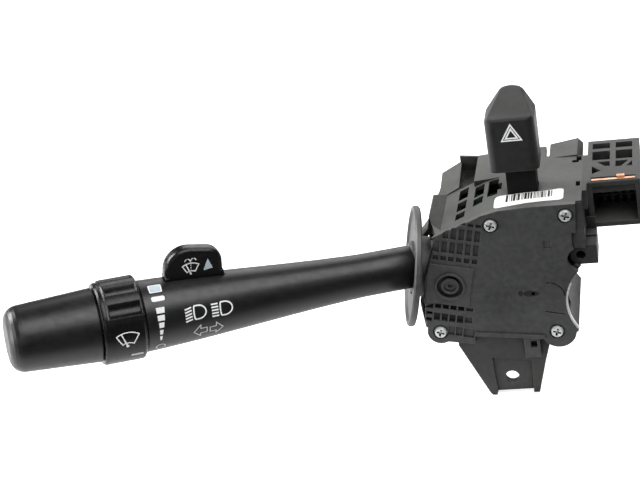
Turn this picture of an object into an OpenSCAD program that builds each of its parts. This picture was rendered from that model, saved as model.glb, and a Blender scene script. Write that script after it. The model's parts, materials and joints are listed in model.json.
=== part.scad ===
// Steering column switch with a hazard flasher button, a turn signal and
// headlamp lever, a wiper band and a washer paddle.
// Origin: centre of the mounting hole, on the rear seating face of the tab.
// +X points to the connector, +Y away from the driver, +Z up. Millimetres.

/* [Mounting tab] */
// Diameter of the mounting hole, for an M5 screw
tab_hole_d = 5.7; // [4.5:0.1:6.5]
// Thickness of the tab wall round the hole
tab_floor_t = 3.6; // [2.4:0.1:4]
// Thickness of the tab beside its pocket, which is also the front flange
flange_t = 4.6; // [4.2:0.1:5.6]
// Width of the pocket round the hole
pocket_w = 13.6; // [10:0.1:15]

/* [Housing] */
// Height of the roof above the mounting hole
roof_z = 76; // [74:0.5:80]
// Right side of the cover
right_x = 32; // [31.4:0.1:33]
// Depth of the main housing behind the seating face
housing_depth = 36; // [34:0.5:44]
// Wall of the main housing
wall = 1.8; // [1.4:0.1:2.2]
// Thickness of the front cover
cover_t = 2.4; // [2.2:0.1:3]
// Radius of the hollow that goes round the steering column
column_r = 19.1; // [17:0.1:20]
// Depth of the rear housing
rear_depth = 12; // [9:0.5:16]
// Rise of the rear housing's right corner above the roof
rear_rise = 0.6; // [0.3:0.1:2]
// Thickness of the ribs in the lattices
rib_t = 1.2; // [0.9:0.1:1.6]
// Thickness of the steel guard in the column hollow
guard_t = 0.8; // [0.6:0.1:1]

/* [Screws] */
// Diameter of the screw heads
screw_head_d = 5.2; // [4.4:0.1:5.4]
// Height of the screw heads
screw_head_h = 1.5; // [1.1:0.1:1.9]
// Diameter of the screw shanks
screw_d = 2.9; // [2.5:0.1:3.2]
// Length of the screw shanks
screw_l = 11; // [9:0.5:14]

/* [Lever] */
// Angle of the lever towards the driver
sweep = 27; // [24:0.5:29]
// Angle of the lever above level
rise = 6.6; // [5:0.1:8]
// Distance from the turn pivot to the end of the lever
lever_len = 179.8; // [172:0.1:190]
// Diameter of the lever at the shield disc
root_d = 17; // [16.6:0.1:18.4]
// Diameter of the lever at the wiper band
band_end_d = 27.7; // [27.6:0.1:29]
// Wall of the lever shell
shell_t = 1.7; // [1.4:0.1:1.9]
// Diameter of the shield disc
disc_d = 48; // [44:0.5:49]
// Thickness of the shield disc
disc_t = 2.6; // [2:0.1:3.2]
// Distance from the turn pivot to the middle of the shield disc
disc_at = 17.8; // [17.6:0.1:19]
// Gap between the shield disc and the housing at the ends of its travel
disc_gap = 0.5; // [0.4:0.1:1]

/* [Wiper band and end cap] */
// Distance from the turn pivot to the near side of the band
band_at = 128.6; // [128:0.1:133]
// Length of the wiper band
band_l = 16.9; // [15:0.1:17.4]
// Diameter of the wiper band
band_d = 31.6; // [30.6:0.1:32.6]
// Height of the thumb pad on the band
pad_h = 0.6; // [0.5:0.1:1.2]
// Diameter of the end cap beside the band
cap_d = 28.5; // [27.6:0.1:29.4]
// Diameter of the end cap at its tip
cap_tip_d = 25.4; // [23:0.1:26.4]
// Radius of the rounded rim of the end cap
cap_round = 5.5; // [3:0.5:6]
// Outer diameter of the sleeve that the band turns on
sleeve_d = 24; // [23:0.1:24.2]

/* [Washer paddle] */
// Length of the paddle along the lever
paddle_l = 22.8; // [21:0.1:25]
// Distance from the turn pivot to the near end of the paddle
paddle_at = 95.2; // [92:0.1:97]
// Height of the paddle above the lever's centre line
paddle_top = 25; // [23:0.1:27]
// Thickness of the paddle
paddle_t = 6.6; // [5:0.1:7]

/* [Hazard button] */
// Width of the button
button_w = 19; // [17:0.1:20]
// Depth of the button from front to back
button_d = 15; // [14:0.1:17]
// Height of the front face of the button
button_h = 22.4; // [20:0.1:24]
// Height of the tongue above the front face
tongue_h = 7.6; // [5:0.1:9]
// Gap between the released button and the roof
button_gap = 10.9; // [9.5:0.1:15]
// Travel of the hazard button
button_travel = 4; // [3:0.5:5]
// Wall of the button shell
button_wall = 1.8; // [1.4:0.1:2.2]
// Width of the slider under the button
slider_w = 11.4; // [11:0.1:12.6]
// Depth of the slider from front to back
slider_d = 8.6; // [8.2:0.1:9]

/* [Turn signal works] */
// Place of the turn pivot from left to right
pivot_x = -19.2; // [-20:0.1:-19]
// Height of the turn pivot above the mounting hole
pivot_z = 44.7; // [44:0.1:46]
// Depth at which the lever's centre line crosses the turn pivot
pivot_y = 16; // [15.6:0.1:17]
// Turn of the lever to each signal position
turn_deg = 8; // [6:0.5:8.5]
// Tilt of the lever when it is pulled to flash
pull_deg = 5; // [3:0.5:5.5]
// Tilt of the lever when it is pushed for high beam
push_deg = 4; // [3:0.5:5]
// Diameter of the turn pivot pin
pivot_d = 5; // [4:0.1:5.4]
// Distance from the turn pivot to the dip pin
dip_at = 10.5; // [10:0.1:11]
// Diameter of the dip pin
dip_d = 3; // [2.6:0.1:3.4]
// Diameter of the detent plunger
plunger_d = 4.8; // [4:0.1:5.2]
// Distance from the turn pivot to the tip of the plunger
plunger_reach = 27.2; // [26.5:0.1:28]

/* [Connector] */
// Width of the connector block
conn_w = 20.2; // [18.8:0.1:24]
// Height of the connector block
conn_h = 19; // [17:0.1:20]
// Depth of the connector block
conn_depth = 38.8; // [37:0.1:42]
// Place of the open front of the block behind the seating face
conn_y = 10; // [8:0.5:12]
// Wall of the connector block
conn_wall = 1.9; // [1.6:0.1:2.2]
// Depth of the plug socket
socket_depth = 20; // [18:0.5:22]
// Length of the terminal blades in the socket
blade_l = 8; // [6:0.5:12]

/* [Fits] */
// Radial gap of a pin in its bore
pin_gap = 0.05; // [0.03:0.01:0.08]
// Gap on each side of a sliding piece
slide_gap = 0.15; // [0.1:0.01:0.25]
// Gap between pieces that pass each other
run_gap = 0.4; // [0.3:0.05:0.5]

/* [Hidden] */
$fn = 48;
eps = 0.01;
far = 200;

flange_y = -flange_t;
cover_y = flange_y - cover_t;
rear_y = housing_depth;
rear_end = rear_y + rear_depth;
housing_right = right_x + 2.2;
inner_right = housing_right - wall;

// The steering column hollow is an arc on the right side
column_x = 44.4;
column_z = 33;

// Corners of the cover, from the low left one, counter-clockwise, as X and Z
ledge_x = -26.5;
ledge_z = roof_z - 9.5;
left_x = -33.8;
step_x = -12;
step_z = 18.1;
sill_z = 21.9;
ear_r = 6.9;
lattice_pitch = 3.03;
cross_w = screw_head_d - 2;
cover_screw_at = [[-0.7, roof_z - 6.5], [right_x - 4.2, roof_z - 4.6], [-25.4, 24.5], [20, 21.6]];
cover_corners = [
    [left_x - 0.4, 29], [-31, 27.8], [-26, 20.4], [step_x - 0.5, step_z], [step_x, sill_z],
    [15.2, sill_z - 3.2], [26, 19.4], [right_x, 24], [right_x + 1, column_z + 14], [right_x + 1, 48.6],
    [right_x - 2.9, 58], [right_x - 2.5, 63.9], [right_x - 0.9, 63.9], [right_x, roof_z], [13, roof_z],
    [2.5, roof_z - 0.7], [-4.1, roof_z - 2.3], [-8.3, roof_z - 4.1], [-21.8, roof_z - 9.2],
    [-26.5, 65], [left_x, 54]
];
// The housing behind the cover reaches further left under the roof, and further right
housing_corners = [
    [left_x - 0.4, 29], [-26, 20.4], [step_x, sill_z - 2], [15.2, sill_z - 3.2],
    [26, 19.4], [right_x, 24], [right_x + 1, column_z + 13], [housing_right, 49.5],
    [housing_right, roof_z], [13, roof_z], [2.5, roof_z - 0.7], [-4.1, roof_z - 2.3],
    [-8.3, roof_z - 4.1], [-20.4, ledge_z], [ledge_x, ledge_z], [ledge_x - 0.6, 57.5], [left_x, 49.5]
];
// The rear housing carries the roof line on, higher at its right corner
rear_corners = [
    [-31.5, 35], [-24, 24], [22, 24], [inner_right - 2, 44], [housing_right - 2, 60],
    [housing_right - 0.5, roof_z + rear_rise - 2.4],
    [housing_right - 2.4, roof_z + rear_rise], [19.3, roof_z - 0.2], [2.5, roof_z - 0.7],
    [-4.1, roof_z - 1.4], [-8.6, roof_z - 1.8], [-8.6, roof_z - 4.2], [-15.4, roof_z - 7.2], [-22.4, roof_z - 9.6],
    [-25, 62], [-31, 52]
];

// Mounting tab
tab_corners = [
    [-19.4, 16.4], [-9.3, -6.3], [-8.5, -7.3], [-6.7, -7.3], [-6.3, -5.9],
    [7.9, -5.9], [8, -7.1], [10.3, -7.1], [14, 6.9], [16.2, 14.2], [16.6, 22], [-19.4, 24]
];
pocket_top = 9.8;

// Lug with a screw hole at the right side, and the rear housing
lug_x = 31.8;
lug_z = 52.2;
lug_hole_d = 3.6;
lug_front = -3;
lug_back = 9;
lug_right = 38.2;
rear_wall = 2.2;
rear_gap_x = 19.3;
rear_gap_w = 1.4;
rear_screw_at = [[-18, 56], [26, 50], [26, 72], [-14, 30]];

// Lever, shield disc and band
disc_sweep = 9.5;
disc_rise = 12;
disc_r = disc_d / 2;
neck_r = 12;
lug_r = 4.2;
lug_h = 5.2;
fork_in = lug_h + slide_gap;
fork_t = 2.4;
core_w = 7;
core_h = 8;
core_end = lever_len - 26;
sleeve_r = sleeve_d / 2;
sleeve_in = sleeve_r - 1.5;
sleeve_at = band_at - 12;
flare_at = 39;
cap_at = band_at + band_l + run_gap;
band_fit = 0.2;
ball_r = 1.15;
ball_at = band_at + 11.5;
ball_z = sleeve_r + band_fit - pin_gap - ball_r;
ball_step = 15;
key_swing = 70;
pad_low = 62;
pad_high = -48;

// Washer paddle: its front face and its pin, in the lever's Y and Z
paddle_front = 1.4;
paddle_back = paddle_front - paddle_t;
pin_y = -2.6;
pin_z = 9;
paddle_pin_d = 2;
spring_y = -3.9;
paddle_round = 1.8;

// Turn signal works
hub_r = 5;
hub_front = flange_y + run_gap;
hub_back = rear_y - run_gap;
arm_y = 8;
arm_w = 12;
arm_l = plunger_reach - 6.7;
plunger_bore_at = 8.4;
plunger_l = 12.8;
track_r = plunger_reach + 0.3;
pawl_x = 14;
pawl_pin_d = 3;
pawl_y = 0.5;
pawl_w = 5;
nose_x = 20;
nose_z = column_z + 3.5;
finger_x = 12;
board_y = 22.3;
board_t = 1.6;
board_posts = [[-8, 62], [3, 57]];

// Hazard button works
button_front_r = 3.2;
button_x = 0.4;
button_y = 2;
button_z = roof_z + button_gap;
slider_x = 6;
slider_y = 6.4;
slider_z = roof_z - 14;
slider_top = button_z + 3;
shelf_z = slider_z - 6;
shelf_t = 1.5;
spring_top = slider_z + 8;
hazard_board_y = slider_y + slider_d + 3;

// Connector block, right of the housing
conn_gap = 1.7;
conn_x = housing_right + conn_gap;
conn_top = roof_z;
conn_z = conn_top - conn_h;
blade_at = [for (i = [0:4]) 3.9 + 3.1 * i];

function unit(v) = v / norm(v);
function inset_corner(a, b, c, d) =
    let (u = unit(b - a), v = unit(c - b), m = [-u.y, u.x], n = [-v.y, v.x])
    b + (m + n) * d / (1 + m * n);
// Moves every side of a counter-clockwise outline inwards by d
function inset(p, d) =
    let (n = len(p))
    [for (i = [0:n - 1]) inset_corner(p[(i + n - 1) % n], p[i], p[(i + 1) % n], d)];

// A flat X and Z shape, given its thickness along Y
module slab(front, back) {
    translate([0, back, 0]) rotate([90, 0, 0]) linear_extrude(back - front) children();
}

// A round bar along Y
module bar_y(x, z, r, front, back) {
    translate([x, front, z]) rotate([-90, 0, 0]) cylinder(h = back - front, r = r);
}

// The lever's own frame: +X along the lever to its tip, +Z up, +Y to the driver
module on_lever() {
    translate([pivot_x, pivot_y, pivot_z])
        rotate([0, 0, 180 + sweep]) rotate([0, -rise, 0]) children();
}

// The middle of the shield disc, +X along its normal to the lever's tip
function lever_point(t) = [
    pivot_x - t * cos(rise) * cos(sweep),
    pivot_y - t * cos(rise) * sin(sweep),
    pivot_z + t * sin(rise)
];
module on_disc() {
    translate(lever_point(disc_at))
        rotate([0, 0, 180 + disc_sweep]) rotate([0, -disc_rise, 0]) children();
}

// A revolved body along the lever, from [distance, radius] pairs
module revolved(profile) {
    rotate([0, 90, 0]) rotate_extrude($fn = 72)
        polygon([for (p = profile) [p[1], p[0]]]);
}

// Round wire wound into a spring along +Z
module coil(r, wire_d, turns, h) {
    sides = 6;
    steps = 10;
    n = round(turns * steps);
    pts = [for (i = [0:n], k = [0:sides - 1])
        let (a = 360 * i / steps, b = 360 * k / sides, q = r + wire_d / 2 * cos(b))
        [q * cos(a), q * sin(a), wire_d / 2 * (1 + sin(b)) + (h - wire_d) * i / n]];
    skin = [for (i = [0:n - 1], k = [0:sides - 1], half = [0, 1])
        let (a = i * sides + k, b = i * sides + (k + 1) % sides)
        half == 0 ? [a, b + sides, a + sides] : [a, b, b + sides]];
    first = [for (k = [1:sides - 2]) [0, k + 1, k]];
    last = [for (k = [1:sides - 2]) [n * sides, n * sides + k, n * sides + k + 1]];
    polyhedron(points = pts, faces = concat(skin, first, last));
}

// Where the shield disc passes while the lever turns and tilts
module disc_room() {
    for (a = [-turn_deg, 0, turn_deg], b = [-push_deg, pull_deg])
        translate([pivot_x, pivot_y, pivot_z]) rotate([0, a, 0])
            rotate([0, 0, 180 + sweep]) rotate([0, -rise, 0])
            translate([dip_at, 0, 0]) rotate([0, 0, b]) translate([-dip_at, 0, 0])
            rotate([0, rise, 0]) rotate([0, 0, -180 - sweep])
            translate([-pivot_x, -pivot_y, -pivot_z])
            on_disc() translate([-disc_t / 2 - disc_gap, 0, 0])
            rotate([0, 90, 0]) cylinder(h = 30, r = disc_r + disc_gap, $fn = 64);
}

module column_cut(extra = 0) {
    translate([column_x, column_z]) circle(r = column_r + extra, $fn = 96);
}

// Windows in a flat lattice: width and height of the field, columns and rows
module lattice_windows(w, h, cols, rows) {
    cell_w = (w - (cols - 1) * rib_t) / cols;
    cell_h = (h - (rows - 1) * rib_t) / rows;
    for (i = [0:cols - 1], j = [0:rows - 1])
        translate([i * (cell_w + rib_t), j * (cell_h + rib_t)]) square([cell_w, cell_h]);
}

module screw(length) {
    // Head on the -Y side, seated at Y = 0
    difference() {
        union() {
            translate([0, -screw_head_h, 0]) rotate([-90, 0, 0])
                cylinder(h = screw_head_h, d1 = screw_head_d - 1, d2 = screw_head_d);
            rotate([-90, 0, 0]) cylinder(h = length, d = screw_d);
        }
        for (a = [0, 90])
            rotate([0, a + 20, 0]) translate([-cross_w / 2, -screw_head_h - eps, -0.4])
                cube([cross_w, 0.9, 0.8]);
    }
}

module cover_outline() {
    difference() {
        union() {
            polygon(cover_corners);
            translate(cover_screw_at[3] + [0.6, -0.2]) circle(r = ear_r);
            translate(cover_screw_at[2]) circle(r = ear_r - 1.7);
        }
        column_cut(guard_t);
    }
}

// Shell of the main housing and the flange with the mounting tab
module main_housing() {
    color([0.16, 0.16, 0.17]) difference() {
        union() {
            slab(flange_y, rear_y) difference() {
                polygon(housing_corners);
                column_cut(guard_t);
                difference() {
                    polygon(inset(housing_corners, wall));
                    column_cut(guard_t + wall);
                }
            }
            slab(flange_y, 0) difference() {
                union() {
                    polygon(tab_corners);
                    translate(cover_screw_at[3] + [0.6, -0.2]) circle(r = ear_r);
                    translate(cover_screw_at[2]) circle(r = ear_r - 1.7);
                }
                column_cut(guard_t);
            }
            for (p = cover_screw_at) bar_y(p.x, p.y, 3.4, flange_y, screw_l);
            hazard_guide();
            side_lug();
            translate([slider_x - 4, 0, shelf_z - shelf_t])
                cube([inner_right + 0.5 - slider_x + 4, hazard_board_y + 3, shelf_t]);
            ledge_ribs();
            strip_floor(28, rear_y);
            left_ramp(29, rear_y);
            // Raised panel right of the sunk strip
            slab(23.6, rear_y) polygon([
                [-8.6, roof_z - 6], [2.5, roof_z - 2.5], [2.5, roof_z - 0.7], [-4.1, roof_z - 1.4], [-8.6, roof_z - 1.8]
            ]);
        }
        ledge_corner();
        tab_pocket();
        bar_y(0, 0, tab_hole_d / 2, flange_y - 1, 1);
        bar_y(lug_x, lug_z, lug_hole_d / 2, flange_y - 1, lug_back + 1);
        bar_y(lug_x, lug_z, 4, flange_y - 1, lug_front);
        for (p = cover_screw_at) bar_y(p.x, p.y, screw_d / 2 + pin_gap, flange_y - 1, screw_l - 1);
        disc_room();
        lever_mouth();
        roof_windows();
        slider_hole();
        pawl_slot(guard_t + wall);
    }
    color([0.16, 0.16, 0.17]) intersection() {
        slab(28.8, rear_y) polygon(housing_corners);
        difference() {
            translate([-40, 28.8, 59]) cube([19, 12, 20]);
            ledge_corner();
        }
    }
}

// Floor below the sunk strip of the roof
module strip_floor(front, back) {
    slab(front, back) polygon([
        [-15.6, ledge_z + 0.3], [-8.3, ledge_z + 0.3], [-8.3, ledge_z + 5], [-15.6, ledge_z + 2]
    ]);
}

// Ramp left of the sunk strip, rising to the rear
module left_ramp(front, back) {
    difference() {
        slab(front, back) polygon([[-24.2, 64.5], [-15.5, 66.5], [-15.5, roof_z], [-24.2, roof_z]]);
        translate([0, 28.5, ledge_z]) rotate([8.5, 0, 0]) translate([0, 0, -ledge_z])
            slab(-10, 30) polygon([[-30, 61.7], [-14, 70.3], [-14, 95], [-30, 95]]);
    }
}

// Room where the ledge ends before the rear housing
module ledge_corner() {
    translate([-40, 30.5, 60.5]) cube([15.8, 12, 20]);
}

// Pocket that leaves a thinner wall round the mounting hole, open below
module tab_pocket() {
    slab(flange_y - 1, -tab_floor_t) polygon([
        [-pocket_w / 2 - 0.2, pocket_top], [-pocket_w / 2 + 0.9, -12],
        [pocket_w / 2 + 1, -12], [pocket_w / 2 + 1.6, pocket_top - 2]
    ]);
}

// Opening in the left wall for the neck of the lever
module lever_mouth() {
    translate([left_x - 5, flange_y - 1, pivot_z - 13.6]) cube([16.8, 30, 31]);
}

// Guide tube of the hazard slider, hanging from the roof
module hazard_guide() {
    t = 1.5;
    translate([slider_x - slide_gap - t, slider_y - slide_gap - t, slider_z])
        cube([slider_w + 2 * (slide_gap + t), slider_d + 2 * (slide_gap + t), roof_z - slider_z - 1]);
}
module slider_hole() {
    translate([slider_x - slide_gap, slider_y - slide_gap, slider_z - 1])
        cube([slider_w + 2 * slide_gap, slider_d + 2 * slide_gap, 30]);
    // Windows for the contact bridge and for the latch wire
    translate([slider_x + 2, slider_y + slider_d - 1, slider_z - 1]) cube([slider_w - 4, 4, 10]);
    translate([slider_x + slider_w - 1, slider_y + 3, slider_z - 1]) cube([4, 4, 12]);
}

// Lug with a screw hole at the right side, on a bracket below the connector
module side_lug() {
    difference() {
        union() {
            slab(lug_front, lug_back) union() {
                translate([lug_x, lug_z]) circle(r = 4);
                translate([lug_x, lug_z - 4]) square([lug_right - lug_x, 8]);
            }
            slab(conn_y - 6, conn_y + 1) translate([housing_right - 1, lug_z - 4])
                square([lug_right - housing_right + 1, conn_z - lug_z + 4]);
        }
        // Hollow of the bracket
        translate([housing_right, conn_y - 7, lug_z + 1.5])
            cube([lug_right - housing_right - 1.4, 5, conn_z - lug_z - 3]);
    }
}

// Low ribs that carry the ledge left of the lattice
module ledge_ribs() {
    for (y = [3, 12, 21, 30])
        slab(y, y + rib_t) polygon([
            [ledge_x + wall, ledge_z - eps], [ledge_x + wall, ledge_z - 4],
            [-18, ledge_z - 4], [-14, ledge_z - 1 + wall], [-20.4, ledge_z - eps]
        ]);
}

// Windows in the sloping left part of the roof, and small slots on the right
module roof_windows() {
    for (row = [[0.4, 5.4], [7.6, 15.2], [17.4, 26.4]])
        translate([-14.9, row[0], ledge_z - 6]) cube([3.8, row[1] - row[0], 20]);
    for (row = [[5.4, 11.2], [12.8, 22]])
        translate([-8, row[0], ledge_z - 2]) cube([3.9, row[1] - row[0], 20]);
    translate([-2.4, 8.6, ledge_z]) cube([4, 14, 20]);
    translate([-2.4, 12.6, ledge_z]) cube([5.5, 5.4, 20]);
    translate([30, 30, roof_z - 5]) cube([2.5, 2.2, 20]);
    translate([31.6, 31.6, roof_z - 5]) cube([2, 3.8, 20]);
    translate([31.8, 8.6, roof_z - 3]) cube([1.6, 4, 20]);
    // Sunk strip behind the left windows
    translate([-14.9, 28.4, ledge_z + 1.8]) cube([5.8, 20, 20]);
}

// Slot in the column hollow through which the cancel pawl is reached
module pawl_slot(depth) {
    translate([column_x - column_r - depth - 1, pawl_y - run_gap, column_z - 6])
        cube([depth + 6, pawl_w + 2 * run_gap, 14]);
}

// Front cover with its two lattices, the pivot boss and the snap tongue
module front_cover() {
    color([0.13, 0.13, 0.14]) difference() {
        union() {
            slab(cover_y, flange_y) difference() {
                cover_outline();
                on_slant() lattice_cut();
            }
            // Snap tongue below the sill
            slab(cover_y, flange_y) difference() {
                translate([6.6, 10.4]) square([6.2, 10]);
                translate([9.2, 14.8]) square([2.5, 3]);
            }
            // Floor of the low left lattice
            slab(flange_y - 0.8, flange_y) intersection() {
                cover_outline();
                on_slant() translate([-40.5, 16]) square([24, 16]);
            }
            // Raised pad round the pivot
            slab(cover_y - 0.5, flange_y) intersection() {
                cover_outline();
                on_slant() translate([-37.5, 31.3]) square([17.3, 17]);
            }
            bar_y(pivot_x, pivot_z, 5.9, cover_y - 1.1, flange_y);
            // Raised edge along the sill
            slab(cover_y - 0.7, flange_y) polygon([
                [step_x, sill_z], [15.2, sill_z - 3.2], [15.2, sill_z - 1.6], [step_x, sill_z + 1.6]
            ]);
        }
        for (p = cover_screw_at) {
            bar_y(p.x, p.y, screw_d / 2 + 0.15, cover_y - 2, 0);
            bar_y(p.x, p.y, screw_head_d / 2 + 0.5, cover_y - 2, cover_y + 0.5);
        }
        // Recess and bore of the pivot boss
        difference() {
            bar_y(pivot_x, pivot_z, 5.1, cover_y - 2, cover_y + 1);
            bar_y(pivot_x, pivot_z, 3.5, cover_y - 0.4, cover_y + 2);
        }
        bar_y(pivot_x, pivot_z, pivot_d / 2 + pin_gap, cover_y - 2, 0);
        // Shallow pockets of the high and the low left fields
        slab(cover_y - 1, cover_y + 0.8) on_slant() shallow_pockets();
        // Notch round the side lug
        bar_y(lug_x, lug_z, 5, cover_y - 1, 0);
        // Small recesses and grooves of the plain field
        slab(cover_y - 1, cover_y + 0.4) {
            translate([18.5, 58]) square([2.6, 3.2]);
            difference() {
                translate([18.4, 37]) circle(r = 6.4);
                translate([18.4, 37]) circle(r = 5.8);
                translate([8, 25]) square([10, 25]);
                translate([8, 27]) square([25, 10]);
            }
            translate([16.2, 30.4]) rotate(-13) square([7.6, 0.6]);
        }
        disc_room();
    }
}

// The lattices of the cover and the pad lie aslant
module on_slant() {
    rotate(-12.5) children();
}

// Openings of the low left lattice, open to its floor
module lattice_cut() {
    for (i = [0:3]) translate([-33.4 + lattice_pitch * i, 0]) {
        translate([0, 29]) square([2.4, 2]);
        translate([0, 23.4]) square([2.4, 3.5]);
    }
    for (x = [-39.4, -36.5], row = [[25.8, 1.3], [22.8, 1.6]])
        translate([x, row[0]]) square([2.4, row[1]]);
    polygon([[-37.9, 28.6], [-34.1, 28.6], [-34.1, 31]]);
}
module shallow_pockets() {
    for (i = [0:5]) translate([-36.3 + lattice_pitch * i, 0]) {
        translate([0, 50.2]) square([2.1, 2.1]);
        translate([0, 53.6]) square([2.1, 5]);
        if (i > 0) translate([0, 59.7]) square([2.1, 5]);
        if (i > 2) translate([0, 66]) square([2.1, 1.4]);
    }
    for (i = [0:1]) translate([-27.2 + lattice_pitch * i, 17.6]) square([2.5, 4]);
    translate([-21.1, 17.4]) square([4.2, 4]);
    translate([-21.2, 29.2]) square([2.8, 1.6]);
    translate([-21.2, 23.9]) square([2.8, 2.6]);
}

module cover_screws() {
    color([0.78, 0.79, 0.8])
        for (p = cover_screw_at)
            translate([p.x, cover_y + 0.5, p.y]) screw(screw_l - 2);
}

// Rear housing: a bulkhead, a rim and the ribs between them, open to the rear
module rear_housing() {
    color([0.2, 0.2, 0.21]) difference() {
        union() {
            slab(rear_y, rear_y + rear_wall) polygon(rear_corners);
            slab(rear_y, rear_end) difference() {
                polygon(rear_corners);
                polygon(inset(rear_corners, rear_wall));
            }
            slab(rear_y, rear_end - 1.5) intersection() {
                polygon(inset(rear_corners, rear_wall - 0.2));
                union() {
                    for (x = [-16:8.4:30]) translate([x, 0]) square([rib_t, 90]);
                    for (z = [33:9.5:75]) translate([-40, z]) square([90, rib_t]);
                }
            }
            for (p = rear_screw_at) bar_y(p.x, p.y, 3.2, rear_y, rear_end - 1);
            bar_y(pivot_x, pivot_z, 5, rear_y, rear_y + 7);
            for (p = board_posts) bar_y(p.x, p.y, 2, board_y + board_t, rear_y + 1);
            strip_floor(rear_y, rear_end);
            left_ramp(rear_y, rear_end);
            // Lip behind the sunk strip
            slab(rear_end - 1.2, rear_end) polygon([
                [-16, ledge_z + 0.3], [-8.3, ledge_z + 0.3], [-8.3, roof_z - 1.8], [-16, roof_z - 1]
            ]);
            // Right upper block, longer at its outer side
            slab(rear_y + rear_wall, rear_end + 4.4) polygon([
                [rear_gap_x, roof_z - 3], [housing_right - 0.5, roof_z - 3], [housing_right - 0.5, roof_z + rear_rise - 2.4],
                [housing_right - 2.4, roof_z + rear_rise], [rear_gap_x, roof_z - 0.2]
            ]);
        }
        // Slanting end of the right upper block
        translate([rear_gap_x + rear_gap_w, rear_end + 1.5, roof_z - 10]) rotate([0, 0, 13]) cube([20, 10, 20]);
        // Gap between the two upper blocks
        translate([rear_gap_x, rear_y + rear_wall, roof_z - 6]) cube([rear_gap_w, 20, 20]);
        translate([-14.9, rear_y - 1, ledge_z + 1.8]) cube([5.8, rear_depth - 0.2, 20]);
        bar_y(pivot_x, pivot_z, pivot_d / 2 + pin_gap, rear_y - 1, rear_y + 5);
        for (p = rear_screw_at) {
            bar_y(p.x, p.y, screw_d / 2 + 0.15, rear_y - 1, rear_end);
            bar_y(p.x, p.y, screw_head_d / 2 + 0.3, rear_end - 3, rear_end + 1);
        }
        slab(rear_y - 1, rear_end + 1) column_cut(guard_t);
        disc_room();
    }
}

module rear_screws() {
    color([0.78, 0.79, 0.8])
        for (p = rear_screw_at)
            translate([p.x, rear_end - 3, p.y]) rotate([0, 0, 180]) screw(rear_depth - 3.5);
}

// Thin steel guard bent round the front edge of the column hollow
module column_guard() {
    color([0.75, 0.75, 0.73]) slab(cover_y + 0.5, cover_y + 1.7) intersection() {
        difference() {
            column_cut(guard_t);
            column_cut();
        }
        translate([20, column_z - 11]) square([12, 20]);
    }
}

// Connector block: a socket open to the driver below a latticed top
module connector_block() {
    color([0.16, 0.16, 0.17]) difference() {
        union() {
            translate([conn_x, conn_y, conn_z]) cube([conn_w, conn_depth, conn_h]);
            // Foot that joins the block to the housing wall
            translate([housing_right, conn_y + 2, conn_z + 2]) cube([conn_gap + 1, rear_y - conn_y - 2, conn_h - 2]);
            translate([housing_right, conn_y - 6, conn_top - 8]) cube([conn_gap, 9, 8]);
        }
        // Plug socket
        translate([conn_x + conn_wall, conn_y - 1, conn_z + conn_wall])
            cube([conn_w - 2 * conn_wall, socket_depth + 1, conn_h - 2 * conn_wall - 3]);
        translate([conn_x + conn_wall, conn_y - 1, conn_top - 6])
            cube([conn_w - 2 * conn_wall, 2.2, 4.2]);
        // Seats of the blades
        for (x = blade_at, z = [3.6, 7.6])
            translate([conn_x + x - 0.75, conn_y + socket_depth - 1, conn_z + z - 0.3])
                cube([1.5, 12, 0.6]);
        // Latticed top: two columns of windows, the front ones cut by a diagonal
        for (col = [[1.9, 6.8], [11, 6.4]], row = [[20.4, 8], [31, 5]])
            translate([conn_x + col[0], conn_y + row[0], conn_top - 9]) cube([col[1], row[1], 20]);
        translate([conn_x - 1.6, conn_y, conn_top - 3]) linear_extrude(20) {
            polygon([[3.5, 8], [6.9, 10.6], [3.5, 15]]);
            polygon([[5.4, 18.6], [8.4, 14.4], [10.3, 14.4], [10.3, 18.6]]);
            polygon([[12.5, 18.6], [12.5, 13.4], [14.6, 13.4], [17.6, 18.6]]);
            polygon([[18.9, 17.6], [16.6, 13.4], [18.9, 13.4]]);
        }
        // Seat of the copper strip along the front edge of the top
        translate([conn_x + 1.6, conn_y + 1.4, conn_top - 0.7]) cube([conn_w - 3.2, 3.4, 2]);
    }
}

module connector_blades() {
    color([0.8, 0.62, 0.42])
        for (x = blade_at, z = [3.6, 7.6])
            translate([conn_x + x - 0.75, conn_y + socket_depth - blade_l, conn_z + z - 0.3])
                cube([1.5, blade_l + 11, 0.6]);
}

module bus_strip() {
    color([0.78, 0.47, 0.3]) {
        translate([conn_x + 1.8, conn_y + 1.6, conn_top - 0.7]) cube([conn_w - 3.6, 1.4, 0.9]);
        translate([conn_x + 11.4, conn_y + 3, conn_top - 0.7]) cube([3, 1.7, 1.5]);
    }
}

module turn_pivot_pin() {
    color([0.6, 0.61, 0.62]) difference() {
        bar_y(pivot_x, pivot_z, pivot_d / 2, cover_y + 0.3, rear_y + 4.6);
        // Centre drilled in the turned end
        bar_y(pivot_x, pivot_z, 0.9, cover_y - 1, cover_y + 1.1);
    }
}

// Block with the three notches that hold the lever in its turn positions
module detent_track() {
    color([0.85, 0.84, 0.8]) difference() {
        translate([pivot_x + 24.5, arm_y + 1, pivot_z - 8]) cube([9, rear_y - arm_y - 1, 16]);
        bar_y(pivot_x, pivot_z, track_r, arm_y - 5, rear_y + 5);
        for (a = [-turn_deg, 0, turn_deg])
            translate([pivot_x, 0, pivot_z]) rotate([0, a, 0])
                bar_y(plunger_reach - 0.8, 0, plunger_d / 2, arm_y - 5, rear_y + 5);
    }
}

module turn_board() {
    color([0.1, 0.35, 0.22]) difference() {
        translate([-11, board_y, 53.5]) cube([17, board_t, 15]);
        translate([-11 - eps, board_y - 1, 66.5]) cube([2.4, 4, 5]);
    }
}
module turn_fixed_contacts() {
    color([0.8, 0.62, 0.42])
        for (i = [0:2])
            translate([-9 + 4.2 * i, board_y - 0.25, 56.5]) cube([3, 0.25, 6.5]);
}

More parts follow.
